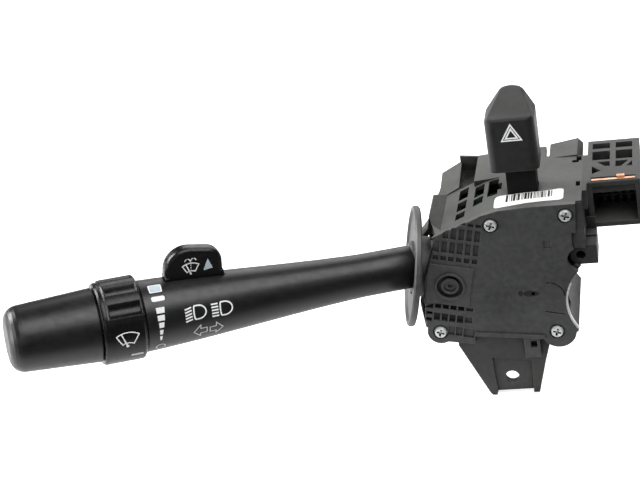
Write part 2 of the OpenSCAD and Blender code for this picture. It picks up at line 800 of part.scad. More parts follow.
module hazard_board() {
    color([0.1, 0.35, 0.22])
        translate([slider_x - 1, hazard_board_y, shelf_z]) cube([slider_w + 2, board_t, 15]);
}
module hazard_fixed_contacts() {
    color([0.8, 0.62, 0.42])
        for (x = [3.2, 6.4])
            translate([slider_x + x, hazard_board_y - 0.25, shelf_z + 2]) cube([2.2, 0.25, 9]);
}
module hazard_spring() {
    color([0.7, 0.7, 0.72])
        translate([slider_x + slider_w / 2, slider_y + slider_d / 2, shelf_z])
            coil(2.3, 0.7, 7, spring_top - shelf_z);
}
module hazard_latch_wire() {
    x = slider_x + slider_w + 2.4;
    y = slider_y + 5;
    color([0.7, 0.7, 0.72]) {
        translate([x, y, shelf_z]) cylinder(h = 11.5, r = 0.5, $fn = 24);
        translate([x + 0.5, y, shelf_z + 11]) rotate([0, -90, 0])
            cylinder(h = 3.3, r = 0.5, $fn = 24);
    }
}

// Carrier that turns with the lever on the pivot pin
module turn_carrier() {
    color([0.88, 0.87, 0.83]) difference() {
        union() {
            bar_y(pivot_x, pivot_z, hub_r, hub_front, hub_back);
            translate([pivot_x - 5, 5, pivot_z - 7.6]) cube([10, 21, 15.2]);
            for (s = [-1, 1])
                on_lever() translate([0, 0, s * (fork_in + fork_t / 2)]) {
                    translate([dip_at, 0, -fork_t / 2]) cylinder(h = fork_t, r = lug_r);
                    translate([0, -lug_r, -fork_t / 2]) cube([dip_at, 2 * lug_r, fork_t]);
                }
            translate([pivot_x, arm_y, pivot_z - 4.5]) cube([arm_l, arm_w, 9]);
            // Finger that carries the turn contact
            translate([pivot_x + finger_x, arm_y + arm_w - 5, pivot_z]) cube([5, 5, 20]);
        }
        bar_y(pivot_x, pivot_z, pivot_d / 2 + pin_gap, flange_y, rear_y);
        // Bore of the plunger and its spring
        translate([pivot_x + plunger_bore_at, arm_y + arm_w / 2, pivot_z]) rotate([0, 90, 0])
            cylinder(h = plunger_reach, d = plunger_d + 2 * slide_gap);
        on_lever() translate([dip_at, 0, -20]) cylinder(h = 40, d = dip_d + 2 * pin_gap);
        bar_y(pivot_x + pawl_x, pivot_z, pawl_pin_d / 2, arm_y - 2, arm_y + 2);
        // Room for the lever's lug between the fork plates
        on_lever() translate([dip_at, 0, -fork_in]) cylinder(h = 2 * fork_in, r = lug_r + run_gap);
        on_lever() translate([dip_at, -9, -fork_in]) cube([10, 18, 2 * fork_in]);
    }
}

module dip_pin() {
    color([0.6, 0.61, 0.62])
        on_lever() translate([dip_at, 0, -fork_in - fork_t])
            cylinder(h = 2 * (fork_in + fork_t), d = dip_d);
}

module detent_spring() {
    color([0.7, 0.7, 0.72])
        translate([pivot_x + plunger_bore_at, arm_y + arm_w / 2, pivot_z]) rotate([0, 90, 0])
            coil(1.7, 0.5, 5, plunger_reach - plunger_l - plunger_bore_at);
}

// Copper leaf on the finger, with two domes against the board
module turn_contact() {
    y = arm_y + arm_w;
    color([0.8, 0.62, 0.42]) {
        translate([pivot_x + finger_x - 0.6, y, pivot_z + 12]) cube([6.2, 0.6, 6]);
        for (z = [13.6, 16.4])
            bar_y(pivot_x + finger_x + 2.5, pivot_z + z, 0.9, y, board_y - 0.4);
    }
}

module pawl_pin() {
    color([0.6, 0.61, 0.62])
        bar_y(pivot_x + pawl_x, pivot_z, pawl_pin_d / 2, pawl_y - 0.8, arm_y + 2);
}

module detent_plunger() {
    r = plunger_d / 2;
    color([0.9, 0.9, 0.88])
        translate([pivot_x + plunger_reach - plunger_l, arm_y + arm_w / 2, pivot_z]) {
            rotate([0, 90, 0]) cylinder(h = plunger_l - r, r = r);
            translate([plunger_l - r, 0, 0]) sphere(r = r);
        }
}

// Pawl that the column's cam pushes to cancel the signal
module cancel_pawl() {
    hub = [pivot_x + pawl_x, pivot_z];
    tip = [nose_x, nose_z];
    v = tip - hub;
    color([0.92, 0.91, 0.86]) difference() {
        slab(pawl_y, pawl_y + pawl_w) union() {
            translate(hub) circle(r = 3.4);
            translate(hub) rotate(atan2(v.y, v.x))
                polygon([[0, -2.8], [norm(v), -1.6], [norm(v), 1.6], [0, 2.8]]);
            translate(tip) circle(r = 1.6);
        }
        bar_y(hub.x, hub.y, pawl_pin_d / 2 + pin_gap, pawl_y - 1, pawl_y + pawl_w + 1);
    }
}

// Core of the lever: the lug on the dip pin and the bar that carries the rest
module lever_core() {
    color([0.3, 0.3, 0.31]) on_lever() difference() {
        union() {
            translate([dip_at, 0, -lug_h]) cylinder(h = 2 * lug_h, r = lug_r);
            translate([dip_at, -core_w / 2, -core_h / 2])
                cube([band_at + 4 - dip_at, core_w, core_h]);
            translate([band_at + 3, -core_w / 2, -core_h / 2])
                cube([core_end - band_at - 3, core_w, 2.4]);
            // Seat of the paddle's spring
            translate([paddle_at + 14.5, spring_y - 1.6, core_h / 2 - 2])
                cube([5, 4, 2]);
            // Cradles of the paddle's pin
            for (t = [paddle_at - 2.6, paddle_at + paddle_l + 0.6])
                translate([t, pin_y - 1.6, core_h / 2 - 1]) cube([2, 3.2, pin_z - core_h / 2 + 1]);
        }
        paddle_pin_bar(0);
        translate([dip_at, 0, -20]) cylinder(h = 40, d = dip_d + 2 * pin_gap);
        // Channel for the wires
        translate([dip_at + 3.4, -2, -2]) cube([band_at - dip_at + 2, 4, 4]);
    }
}

// Shield disc with a raised rim, a collar and a neck behind it
module shield_disc() {
    color([0.2, 0.2, 0.21]) difference() {
        union() {
            on_disc() revolved([
                [-disc_t / 2, 0], [-disc_t / 2, disc_r - 0.6], [-disc_t / 2 + 0.6, disc_r],
                [disc_t / 2 - 0.6, disc_r], [disc_t / 2, disc_r - 0.6], [disc_t / 2, disc_r - 1.8],
                [disc_t / 2 - 0.9, disc_r - 2.6], [disc_t / 2 - 0.9, 0]
            ]);
            on_disc() revolved([
                [-disc_t / 2 - 4.6, neck_r - 1.2], [-disc_t / 2 - 4.6, neck_r],
                [0, neck_r], [0, neck_r - 1.2]
            ]);
            on_disc() revolved([
                [-disc_t / 2 + 0.5, 0], [-disc_t / 2 + 0.5, root_d / 2 + 1.6],
                [disc_t / 2, root_d / 2 + 1.4], [disc_t / 2 + 1, root_d / 2 + 0.4], [disc_t / 2 + 1, 0]
            ]);
        }
        on_lever() translate([dip_at, -core_w / 2, -core_h / 2]) cube([60, core_w, core_h]);
        on_lever() revolved([[disc_at + disc_t / 2 + 0.2, 0], [disc_at + disc_t / 2 + 0.2, 11], [40, 11], [40, 0]]);
    }
}

// Radius of the lever's skin at a distance from the pivot: it flares towards the band
function flare(t) =
    let (u = max(0, min(1, (t - flare_at) / (band_at - flare_at))))
    root_d / 2 + (band_end_d - root_d) / 2 * (0.55 * u + 0.45 * u * u * (3 - 2 * u));

module stalk_shell() {
    near = disc_at + disc_t / 2 + 0.2;
    steps = 16;
    outer = [for (i = [0:steps]) let (t = near + (band_at - near) * i / steps) [t, flare(t)]];
    inner = [for (i = [steps:-1:0]) let (t = near + (band_at - near) * i / steps)
        [t, t > sleeve_at - 8 ? sleeve_r + pin_gap : flare(t) - shell_t]];
    color([0.12, 0.12, 0.13]) on_lever() difference() {
        revolved(concat(outer, inner));
        paddle_pin_bar(0);
        // Opening for the paddle, wider behind it for its swing
        translate([paddle_at - run_gap, paddle_back - 1 - run_gap, 4])
            cube([paddle_l + 2 * run_gap, paddle_t + 1 + 2 * run_gap, 30]);
    }
}

// Sleeve that the band turns on, fixed in the end of the lever shell
module band_sleeve() {
    color([0.25, 0.25, 0.26]) on_lever() difference() {
        revolved([
            [sleeve_at, sleeve_in], [sleeve_at, sleeve_r], [cap_at + 8, sleeve_r], [cap_at + 8, sleeve_in]
        ]);
        // Slot for the key of the rotor
        rotate([-key_swing, 0, 0]) rotate([0, 90, 0]) rotate_extrude(angle = 2 * key_swing, $fn = 72)
            translate([sleeve_in - 1, band_at + 4.6]) square([sleeve_r - sleeve_in + 2, 3.6]);
        // Pocket of the detent ball
        translate([ball_at, 0, 0]) cylinder(h = 20, r = ball_r + slide_gap, $fn = 24);
        // Cut so that the paddle's works pass
        translate([0, -paddle_t, 0]) cube([paddle_at + paddle_l + 0.6, 2 * paddle_t, 20]);
    }
}

module end_cap() {
    r1 = cap_d / 2;
    r2 = cap_tip_d / 2;
    end = lever_len;
    arc = [for (a = [0:15:90]) [end - cap_round + cap_round * sin(a), r2 - cap_round + cap_round * cos(a)]];
    inner = end - shell_t;
    color([0.12, 0.12, 0.13]) on_lever()
        revolved(concat(
            [[cap_at, sleeve_r + pin_gap], [cap_at, r1 - 0.4], [cap_at + 0.4, r1]], arc,
            [[end, 0], [inner, 0], [inner, r2 - cap_round], [end - cap_round, r2 - shell_t - 0.5],
             [cap_at + 8.2, sleeve_r - 0.4], [cap_at + 8.2, sleeve_r + pin_gap]]));
}

module stalk_wires() {
    color([0.6, 0.12, 0.1]) on_lever()
        for (p = [[-0.9, -1.1], [0.9, -1.1], [0, 0.5]])
            translate([dip_at + 6, p.x, p.y]) rotate([0, 90, 0])
                cylinder(h = band_at - dip_at - 5, r = 0.8, $fn = 16);
}

module wiper_board() {
    color([0.1, 0.35, 0.22]) on_lever() difference() {
        translate([band_at + 1, 0, 0]) rotate([0, 90, 0]) cylinder(h = board_t, r = sleeve_in - pin_gap);
        translate([band_at, -core_w / 2, -core_h / 2]) cube([5, core_w, core_h]);
    }
}

module band_spring() {
    color([0.7, 0.7, 0.72]) on_lever()
        translate([ball_at, 0, -core_h / 2 + 2.4])
            coil(0.8, 0.35, 5, ball_z - 1 + core_h / 2 - 2.4);
}
module band_ball() {
    color([0.75, 0.76, 0.78]) on_lever()
        translate([ball_at, 0, ball_z]) sphere(r = ball_r, $fn = 24);
}

// Thumb band of the wipers: ridges on the upper front, notches inside
module wiper_band() {
    r = band_d / 2;
    lip = 0.5;
    color([0.1, 0.1, 0.11]) on_lever() difference() {
        union() {
            revolved([
                [band_at + 0.3, sleeve_r + band_fit], [band_at + 0.3, r - 1.2 - lip], [band_at + 1.2, r - 0.4],
                [band_at + 1.8, r], [band_at + band_l - 0.8, r], [band_at + band_l, r - lip],
                [band_at + band_l, sleeve_r + band_fit]
            ]);
            // Thumb pad over the upper front
            rotate([180 - pad_low, 0, 0]) rotate([0, 90, 0])
                rotate_extrude(angle = pad_low - pad_high, $fn = 72) polygon([
                    [r - 1, band_at + 0.8], [r + pad_h - 0.5, band_at + 0.8], [r + pad_h, band_at + 1.3],
                    [r + pad_h, band_at + band_l - 2.6], [r + pad_h - 0.5, band_at + band_l - 2.1], [r - 1, band_at + band_l - 2.1]
                ]);
        }
        // Flutes of the thumb pad: angle, radius and depth
        for (f = [[51, 4, 1.4], [18, 7, 0.8], [-12, 7, 0.8], [-38, 6, 0.8]])
            rotate([-f[0], 0, 0]) translate([band_at + 1.8, 0, r + pad_h - f[2] + f[1]])
                rotate([0, 90, 0]) cylinder(h = band_l - 4.8, r = f[1]);
        revolved([
            [band_at, 0], [band_at, sleeve_r + band_fit], [band_at + 20, sleeve_r + band_fit], [band_at + 20, 0]
        ]);
        // Detent notches under the ball
        for (i = [-4:3])
            rotate([i * ball_step, 0, 0]) translate([ball_at, 0, sleeve_r - 0.4])
                sphere(r = ball_r + slide_gap, $fn = 24);
        // Socket of the rotor key
        translate([band_at + 4.7, -1.4, -sleeve_r - 1]) cube([3.4, 2.8, 3]);
    }
}
module wiper_rotor() {
    color([0.85, 0.84, 0.8]) on_lever() {
        revolved([
            [band_at + 4.7, 6.4], [band_at + 4.7, sleeve_in - 0.3], [band_at + 8, sleeve_in - 0.3],
            [band_at + 8, 6.4]
        ]);
        translate([band_at + 4.9, -1.2, -sleeve_r - 0.8]) cube([3, 2.4, 2.8]);
    }
}

// Outline of the paddle in the lever's X and Z, drawn in by d
module paddle_outline(d) {
    hull() {
        translate([paddle_at + d, 8]) square([paddle_l - 2 * d, 5]);
        translate([paddle_at + 5.8, paddle_top - 7.2]) circle(r = 5.8 - d);
        translate([paddle_at + paddle_l - 9.4, paddle_top - 9.6]) circle(r = 9.4 - d);
    }
}
module washer_paddle() {
    color([0.11, 0.11, 0.12]) on_lever() difference() {
        union() {
            // Its rim is rounded in steps
            hull() for (a = [0:30:90]) {
                e = paddle_round * (1 - sin(a));
                translate([0, paddle_front - e, 0]) rotate([90, 0, 0])
                    linear_extrude(paddle_t - 2 * e) paddle_outline(paddle_round * (1 - cos(a)));
            }
            translate([paddle_at, paddle_back, pin_z]) cube([paddle_l, paddle_t, 5]);
            for (t = [0, 9, paddle_l - 4])
                translate([paddle_at + t, pin_y, pin_z]) rotate([0, 90, 0])
                    cylinder(h = 4, r = paddle_pin_d / 2 + 1.2);
            // Tail that works the washer switch
            translate([paddle_at + 9, pin_y - 0.8, pin_z - 3]) cube([4, 1.6, 4]);
        }
        paddle_pin_bar(pin_gap);
        // Its broad part ends above the lever's works
        difference() {
            translate([paddle_at - 1, paddle_back - 1, 0]) cube([paddle_l + 2, paddle_t + 2, 12]);
            translate([paddle_at, paddle_back, pin_z]) cube([paddle_l, paddle_t, 5]);
            for (t = [0, 9, paddle_l - 4])
                translate([paddle_at + t, pin_y, pin_z]) rotate([0, 90, 0])
                    cylinder(h = 4, r = paddle_pin_d / 2 + 1.2);
            translate([paddle_at + 9, pin_y - 0.8, pin_z - 3]) cube([4, 1.6, 4]);
        }
    }
}
module paddle_pin_bar(gap) {
    translate([paddle_at - 2.6, pin_y, pin_z]) rotate([0, 90, 0])
        cylinder(h = paddle_l + 5.2, r = paddle_pin_d / 2 + gap);
}
module paddle_pin() {
    color([0.6, 0.61, 0.62]) on_lever() paddle_pin_bar(0);
}
module paddle_spring() {
    color([0.7, 0.7, 0.72]) on_lever()
        translate([paddle_at + 17, spring_y, core_h / 2]) coil(1, 0.4, 3, pin_z - core_h / 2);
}
module paddle_switch() {
    color([0.75, 0.74, 0.7]) on_lever()
        translate([paddle_at + 8, pin_y + 1.4, core_h / 2]) cube([6, 2.6, 2.9]);
}

// Side view of the button as Y and Z: a straight front and a scooped top
module button_side() {
    top = button_z + button_h;
    back = button_y + button_d;
    scoop = [for (a = [0:10:90])
        [button_y + 1.6 + (button_d - 3) * (1 - cos(a)), top + tongue_h * sin(a) * (1 - cos(a))]];
    polygon(concat(
        [[back, button_z], [back - 0.4, top + tongue_h - 1]],
        [for (i = [len(scoop) - 1:-1:0]) scoop[i]],
        [[button_y + 0.5, top - 0.4], [button_y, top - 1.4], [button_y, button_z]]
    ));
}
// Front view of the button as X and Z: sides that close to a rounded tongue
module button_front(d = 0) {
    top = button_z + button_h;
    mid = button_x + button_w / 2;
    hull() {
        translate([button_x + d, button_z - 1]) square([button_w - 2 * d, button_h - 1 - d]);
        translate([button_x + 1.6 + d, top - 3]) circle(r = 1.6);
        translate([button_x + button_w - 1.6 - d, top - 3]) circle(r = 1.6);
        translate([mid + 0.8, top + tongue_h - 6 - d]) circle(r = 6);
    }
}
// Plan of the button: a rectangle with round corners, wider ones in front
module button_plan() {
    for (c = [[button_front_r, button_front_r, button_front_r], [1.2, button_d - 1.2, 1.2]])
        for (x = [c[0], button_w - c[0]])
            translate([button_x + x, button_y + c[1]]) circle(r = c[2]);
    translate([button_x, button_y + button_front_r]) square([button_w, button_d - button_front_r - 1.2]);
    translate([button_x + button_front_r, button_y]) square([button_w - 2 * button_front_r, button_d]);
    translate([button_x + 1.2, button_y + button_front_r]) square([button_w - 2.4, button_d - button_front_r]);
}
module hazard_button() {
    w = button_wall;
    color([0.14, 0.14, 0.15]) difference() {
        intersection() {
            translate([button_x - 5, 0, 0]) rotate([90, 0, 90]) linear_extrude(button_w + 10)
                button_side();
            slab(button_y, button_y + button_d) button_front();
            translate([0, 0, button_z - 1]) linear_extrude(button_h + tongue_h + 2) button_plan();
        }
        // Hollow, with a cross of ribs that rests on the slider
        difference() {
            translate([button_x + w, button_y + w, button_z - 1])
                cube([button_w - 2 * w, button_d - 2 * w, button_h - 1]);
            translate([slider_x + slider_w / 2 - 0.6, button_y, slider_top]) cube([rib_t, button_d, 30]);
            translate([button_x, slider_y + slider_d / 2 - 0.6, slider_top]) cube([button_w, rib_t, 30]);
        }
        translate([slider_x, slider_y, button_z - 1]) cube([slider_w, slider_d, slider_top - button_z + 1]);
    }
}
module hazard_slider() {
    color([0.1, 0.1, 0.11]) difference() {
        translate([slider_x, slider_y, slider_z]) cube([slider_w, slider_d, slider_top - slider_z]);
        translate([slider_x + slider_w / 2, slider_y + slider_d / 2, slider_z - 1])
            cylinder(h = spring_top - slider_z + 1, r = 3.2);
        // Cam groove for the latch wire
        translate([slider_x + slider_w - 1, slider_y + 3.5, slider_z + 3]) cube([2, 3, 8]);
    }
}
module hazard_bridge() {
    y = slider_y + slider_d;
    color([0.8, 0.62, 0.42]) {
        translate([slider_x + 3, y, slider_z + 1]) cube([6.2, 0.5, 5]);
        for (x = [4.3, 7.5])
            bar_y(slider_x + x, slider_z + 3, 0.7, y, hazard_board_y - 0.6);
    }
}

main_housing();
front_cover();
cover_screws();
rear_housing();
rear_screws();
column_guard();
connector_block();
connector_blades();
bus_strip();
turn_pivot_pin();
detent_track();
turn_board();
turn_fixed_contacts();
hazard_board();
hazard_fixed_contacts();
hazard_spring();
hazard_latch_wire();
turn_carrier();
dip_pin();
detent_spring();
turn_contact();
pawl_pin();
detent_plunger();
cancel_pawl();
lever_core();
shield_disc();
stalk_shell();
band_sleeve();
end_cap();
stalk_wires();
wiper_board();
band_spring();
paddle_pin();
paddle_spring();
paddle_switch();
wiper_band();
wiper_rotor();
band_ball();
washer_paddle();
hazard_button();
hazard_slider();
hazard_bridge();
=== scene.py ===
import json
import math
import bpy
from mathutils import Matrix, Vector


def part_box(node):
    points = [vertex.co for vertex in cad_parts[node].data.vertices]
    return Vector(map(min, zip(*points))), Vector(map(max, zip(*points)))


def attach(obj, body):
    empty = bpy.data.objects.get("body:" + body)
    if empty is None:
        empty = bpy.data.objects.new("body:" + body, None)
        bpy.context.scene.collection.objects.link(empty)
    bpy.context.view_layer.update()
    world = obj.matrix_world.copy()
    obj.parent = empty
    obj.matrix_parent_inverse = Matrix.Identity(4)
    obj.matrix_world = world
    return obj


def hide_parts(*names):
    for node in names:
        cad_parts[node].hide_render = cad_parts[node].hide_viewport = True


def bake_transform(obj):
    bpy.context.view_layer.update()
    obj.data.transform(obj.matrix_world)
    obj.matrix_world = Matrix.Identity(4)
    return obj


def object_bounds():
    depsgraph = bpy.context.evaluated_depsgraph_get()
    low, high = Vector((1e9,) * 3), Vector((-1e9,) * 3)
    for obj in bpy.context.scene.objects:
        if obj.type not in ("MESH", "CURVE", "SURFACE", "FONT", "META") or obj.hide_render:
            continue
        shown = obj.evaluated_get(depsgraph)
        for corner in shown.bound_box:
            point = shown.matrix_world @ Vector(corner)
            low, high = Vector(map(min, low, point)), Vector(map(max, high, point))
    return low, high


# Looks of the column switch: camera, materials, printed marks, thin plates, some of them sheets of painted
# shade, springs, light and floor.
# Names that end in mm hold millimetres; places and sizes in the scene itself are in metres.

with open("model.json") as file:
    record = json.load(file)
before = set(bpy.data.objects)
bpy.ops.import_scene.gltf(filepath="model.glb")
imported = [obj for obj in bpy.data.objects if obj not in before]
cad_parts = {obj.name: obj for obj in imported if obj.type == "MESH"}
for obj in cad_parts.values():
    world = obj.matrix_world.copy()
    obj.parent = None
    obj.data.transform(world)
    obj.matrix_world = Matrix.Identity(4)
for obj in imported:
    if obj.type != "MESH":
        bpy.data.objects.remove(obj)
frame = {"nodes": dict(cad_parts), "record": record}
cad_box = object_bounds()
MM = 0.001
WHITE = (1.0, 1.0, 1.0, 1.0)

# Camera: its angles in degrees, its place and its lens
CAMERA_AZ, CAMERA_EL, CAMERA_ROLL = 13.0, 26.0, 10.0
CAMERA_AT_MM = (73.98, -617.65, 374.41)
LENS_MM, SENSOR_MM = 101.25, 36.0
CLIP_FROM, CLIP_TO = 0.01, 30.0


def add_camera():
    """Looks down at the part from the front right, rolled about the line of sight."""
    az, el, roll = (math.radians(a) for a in (CAMERA_AZ, CAMERA_EL, CAMERA_ROLL))
    back = Vector((math.sin(az) * math.cos(el), -math.cos(az) * math.cos(el), math.sin(el)))
    level = Vector((math.cos(az), math.sin(az), 0.0))
    above = back.cross(level)
    right = level * math.cos(roll) - above * math.sin(roll)
    up = level * math.sin(roll) + above * math.cos(roll)
    data = bpy.data.cameras.new("photo_camera")
    data.sensor_width = SENSOR_MM
    data.lens = LENS_MM
    data.clip_start = CLIP_FROM
    data.clip_end = CLIP_TO
    data.dof.use_dof = False
    camera = bpy.data.objects.new("photo_camera", data)
    bpy.context.collection.objects.link(camera)
    turn = Matrix((right, up, back)).transposed().to_4x4()
    camera.matrix_world = Matrix.Translation(Vector(CAMERA_AT_MM) * MM) @ turn
    bpy.context.scene.camera = camera


add_camera()

# Shader nodes
# The Mix node has sockets for every kind of value: these are the ones for colours
MIX_A, MIX_B, MIX_RESULT = 6, 7, 2

# Where a pattern, an angle or an openness counts as none, and where it counts as all
SOFT = (0.3, 0.7)
PATCHY = (0.35, 0.65)
BLOTCHY = (0.36, 0.64)
TARNISHED = (0.42, 0.66)
FADED = (0.35, 0.7)
FACES_UP = (0.35, 0.95)
SHARP_EDGE = (0.97, 0.80)
POCKET_SHADE = (0.25, 0.85)
SCREW_SLOT_SHADE = (0.55, 0.92)


class Tree:
    """Adds and joins the nodes of one material or world."""

    def __init__(self, owner, output_kind):
        owner.use_nodes = True
        self.tree = owner.node_tree
        self.tree.nodes.clear()
        self.output = self.add(output_kind)

    def add(self, kind, **values):
        node = self.tree.nodes.new(kind)
        for key, value in values.items():
            setattr(node, key, value)
        return node

    def link(self, a, b):
        self.tree.links.new(a, b)

    def put(self, socket, value):
        """Sets a socket to a value, or joins it to another node's output."""
        if hasattr(value, "is_linked"):
            self.link(value, socket)
        else:
            socket.default_value = value

    def span(self, value, low, high, to_low=0.0, to_high=1.0):
        """Turns the stretch from low to high into another one, and stays at its ends beyond."""
        node = self.add("ShaderNodeMapRange")
        node.inputs["From Min"].default_value = low
        node.inputs["From Max"].default_value = high
        node.inputs["To Min"].default_value = to_low
        node.inputs["To Max"].default_value = to_high
        self.put(node.inputs["Value"], value)
        return node.outputs["Result"]

    def seen_or_not(self, seen, unseen):
        """Ends the tree: one shader for what the camera sees directly, one for all other rays."""
        path = self.add("ShaderNodeLightPath")
        mix = self.add("ShaderNodeMixShader")
        self.link(path.outputs["Is Camera Ray"], mix.inputs["Fac"])
        self.link(unseen, mix.inputs[1])
        self.link(seen, mix.inputs[2])
        self.link(mix.outputs[0], self.output.inputs["Surface"])


class Shader(Tree):
    """A new material around one Principled shader, with the patterns that the finishes share."""

    def __init__(self, name):
        self.material = bpy.data.materials.new(name)
        super().__init__(self.material, "ShaderNodeOutputMaterial")
        self.bsdf = self.add("ShaderNodeBsdfPrincipled")
        self.link(self.bsdf.outputs["BSDF"], self.output.inputs["Surface"])
        self.coord = self.add("ShaderNodeTexCoord").outputs["Object"]

    def noise(self, scale, detail, rough, stretch=None):
        """A cloudy pattern from 0 to 1; scale is about how many clouds lie along a metre."""
        node = self.add("ShaderNodeTexNoise")
        where = self.coord
        if stretch:
            mapping = self.add("ShaderNodeMapping")
            mapping.inputs["Scale"].default_value = stretch
            self.link(where, mapping.inputs["Vector"])
            where = mapping.outputs["Vector"]
        self.link(where, node.inputs["Vector"])
        node.inputs["Scale"].default_value = scale
        node.inputs["Detail"].default_value = detail
        node.inputs["Roughness"].default_value = rough
        return node.outputs["Fac"]

    def maths(self, kind, a, b):
        node = self.add("ShaderNodeMath", operation=kind)
        self.put(node.inputs[0], a)
        self.put(node.inputs[1], b)
        return node.outputs[0]

    def times(self, a, b):
        return self.maths("MULTIPLY", a, b)

    def plus(self, a, b):
        return self.maths("ADD", a, b)

    def mix(self, factor, a, b):
        """Goes from colour a to colour b; each is an output or three numbers."""
        node = self.add("ShaderNodeMix", data_type="RGBA")
        self.put(node.inputs["Factor"], factor)
        for socket, colour in ((MIX_A, a), (MIX_B, b)):
            self.put(node.inputs[socket], colour if hasattr(colour, "is_linked") else (*colour, 1.0))
        return node.outputs[MIX_RESULT]

    def rounded(self, radius_mm):
        """Normals that make sharp edges look rounded."""
        node = self.add("ShaderNodeBevel", samples=4)
        node.inputs["Radius"].default_value = radius_mm * MM
        return node.outputs["Normal"]

    def edge(self, rounded):
        """One along sharp edges, fading to nothing on flats."""
        flat = self.add("ShaderNodeNewGeometry").outputs["Normal"]
        dot = self.add("ShaderNodeVectorMath", operation="DOT_PRODUCT")
        self.link(rounded, dot.inputs[0])
        self.link(flat, dot.inputs[1])
        return self.span(dot.outputs["Value"], *SHARP_EDGE)

    def hollow(self, reach_mm):
        """One in the open, less in corners and pockets."""
        node = self.add("ShaderNodeAmbientOcclusion", samples=6)
        node.inputs["Distance"].default_value = reach_mm * MM
        return node.outputs["AO"]

    def facing_up(self):
        """One on what faces up, fading to nothing on steep faces."""
        normal = self.add("ShaderNodeNewGeometry").outputs["Normal"]
        split = self.add("ShaderNodeSeparateXYZ")
        self.link(normal, split.inputs[0])
        return self.span(split.outputs["Z"], *FACES_UP)

    def bump(self, height, strength, distance_mm, normal=None):
        node = self.add("ShaderNodeBump")
        node.inputs["Strength"].default_value = strength
        node.inputs["Distance"].default_value = distance_mm * MM
        self.link(height, node.inputs["Height"])
        if normal is not None:
            self.link(normal, node.inputs["Normal"])
        return node.outputs["Normal"]


# Plastic: its patterns, then how far each effect goes
CLOUD_SCALE, MOTTLE_SCALE = 38.0, 420.0
CLOUD_SHARE, MOTTLE_SHARE = 0.6, 0.4
LIGHT_PATCH = 2.2
# Least share of the edge tone, which is partly real wear and partly a painted edge highlight
LEAST_EDGE_WEAR_AND_LIGHT = 0.25
SMOOTHER, ROUGHER = 0.06, 0.07
# Pale grey on up-facing faces: partly real dust, partly painted light on top faces
DUST_AND_TOP_LIGHT = (0.22, 0.22, 0.21)
LEAST_DUST_AND_TOP_LIGHT, LEAST_SPECK, DUST_ROUGHER = 0.55, 0.75, 0.12
# Gloss left where pockets are in painted shade
SHADED_POCKET_GLOSS = 0.25
GRAIN_BUMP, MOTTLE_BUMP, MOTTLE_BY_GRAIN = 0.5, 0.25, 1.5


def plastic(name, base, rough, grain=2600.0, grain_mm=0.03, dust_and_top_light=0.0, edge_wear_and_light=0.35, worn_and_lit_tone=(0.12, 0.12, 0.12),
            round_mm=0.35, specular=0.5, patch=0.25, shade_reach_mm=0.0, shade_tone=0.12):
    """Moulded plastic: cloudy tone, fine grain, worn edges that are partly a painted edge highlight, dust
    on what faces up that is partly painted light on top faces, and painted shade in pockets.
    """
    s = Shader(name)
    cloud = s.noise(CLOUD_SCALE, detail=4.0, rough=0.6)
    mottle = s.noise(MOTTLE_SCALE, detail=3.0, rough=0.6)
    grains = s.noise(grain, detail=2.0, rough=0.7)
    rounded = s.rounded(round_mm)
    light = tuple(c * (1.0 + patch * LIGHT_PATCH) for c in base)
    dark = tuple(c * (1.0 - patch) for c in base)
    tone = s.plus(s.times(cloud, CLOUD_SHARE), s.times(mottle, MOTTLE_SHARE))
    colour = s.mix(s.span(tone, *BLOTCHY), dark, light)
    # Edges take the worn tone: partly real wear, partly a painted highlight where rounded edges catch the
    # light
    if edge_wear_and_light:
        scuffed_and_lit = s.times(s.edge(rounded), s.span(mottle, *PATCHY, LEAST_EDGE_WEAR_AND_LIGHT, 1.0))
        colour = s.mix(s.times(scuffed_and_lit, edge_wear_and_light), colour, worn_and_lit_tone)
    roughness = s.span(mottle, *SOFT, rough - SMOOTHER, rough + ROUGHER)
    # Faces that look up go pale: partly real dust, partly painted light falling on top faces
    if dust_and_top_light:
        up = s.times(s.facing_up(), s.span(cloud, *SOFT, LEAST_DUST_AND_TOP_LIGHT, 1.0))
        speck = s.times(up, s.span(grains, *PATCHY, LEAST_SPECK, 1.0))
        colour = s.mix(s.times(speck, dust_and_top_light), colour, DUST_AND_TOP_LIGHT)
        roughness = s.plus(roughness, s.times(up, DUST_ROUGHER))
    gloss = specular
    # Painted shade: where ambient occlusion finds pockets and corners, the colour darkens and the gloss
    # dims
    if shade_reach_mm:
        shade = s.span(s.hollow(shade_reach_mm), *POCKET_SHADE)
        colour = s.mix(shade, tuple(c * shade_tone for c in base), colour)
        gloss = s.times(s.span(shade, 0.0, 1.0, SHADED_POCKET_GLOSS, 1.0), specular)
    s.put(s.bsdf.inputs["Specular IOR Level"], gloss)
    s.link(colour, s.bsdf.inputs["Base Color"])
    s.link(roughness, s.bsdf.inputs["Roughness"])
    fine = s.bump(grains, GRAIN_BUMP, grain_mm, rounded)
    s.link(s.bump(mottle, MOTTLE_BUMP, grain_mm * MOTTLE_BY_GRAIN, fine), s.bsdf.inputs["Normal"])
    return s.material


# Metal: its patterns, then how far each effect goes
SCRATCH_SCALE, SCRATCH_BUMP, SCRATCH_MM = 1800.0, 0.4, 0.02
METAL_ROUND_MM = 0.12
# How dark the painted shade in slots gets
SLOT_SHADE_TONE = 0.03
EDGE_SHARE, EDGE_SHINE = 0.5, 1.25
METAL_SMOOTHER, METAL_ROUGHER = 0.08, 0.14


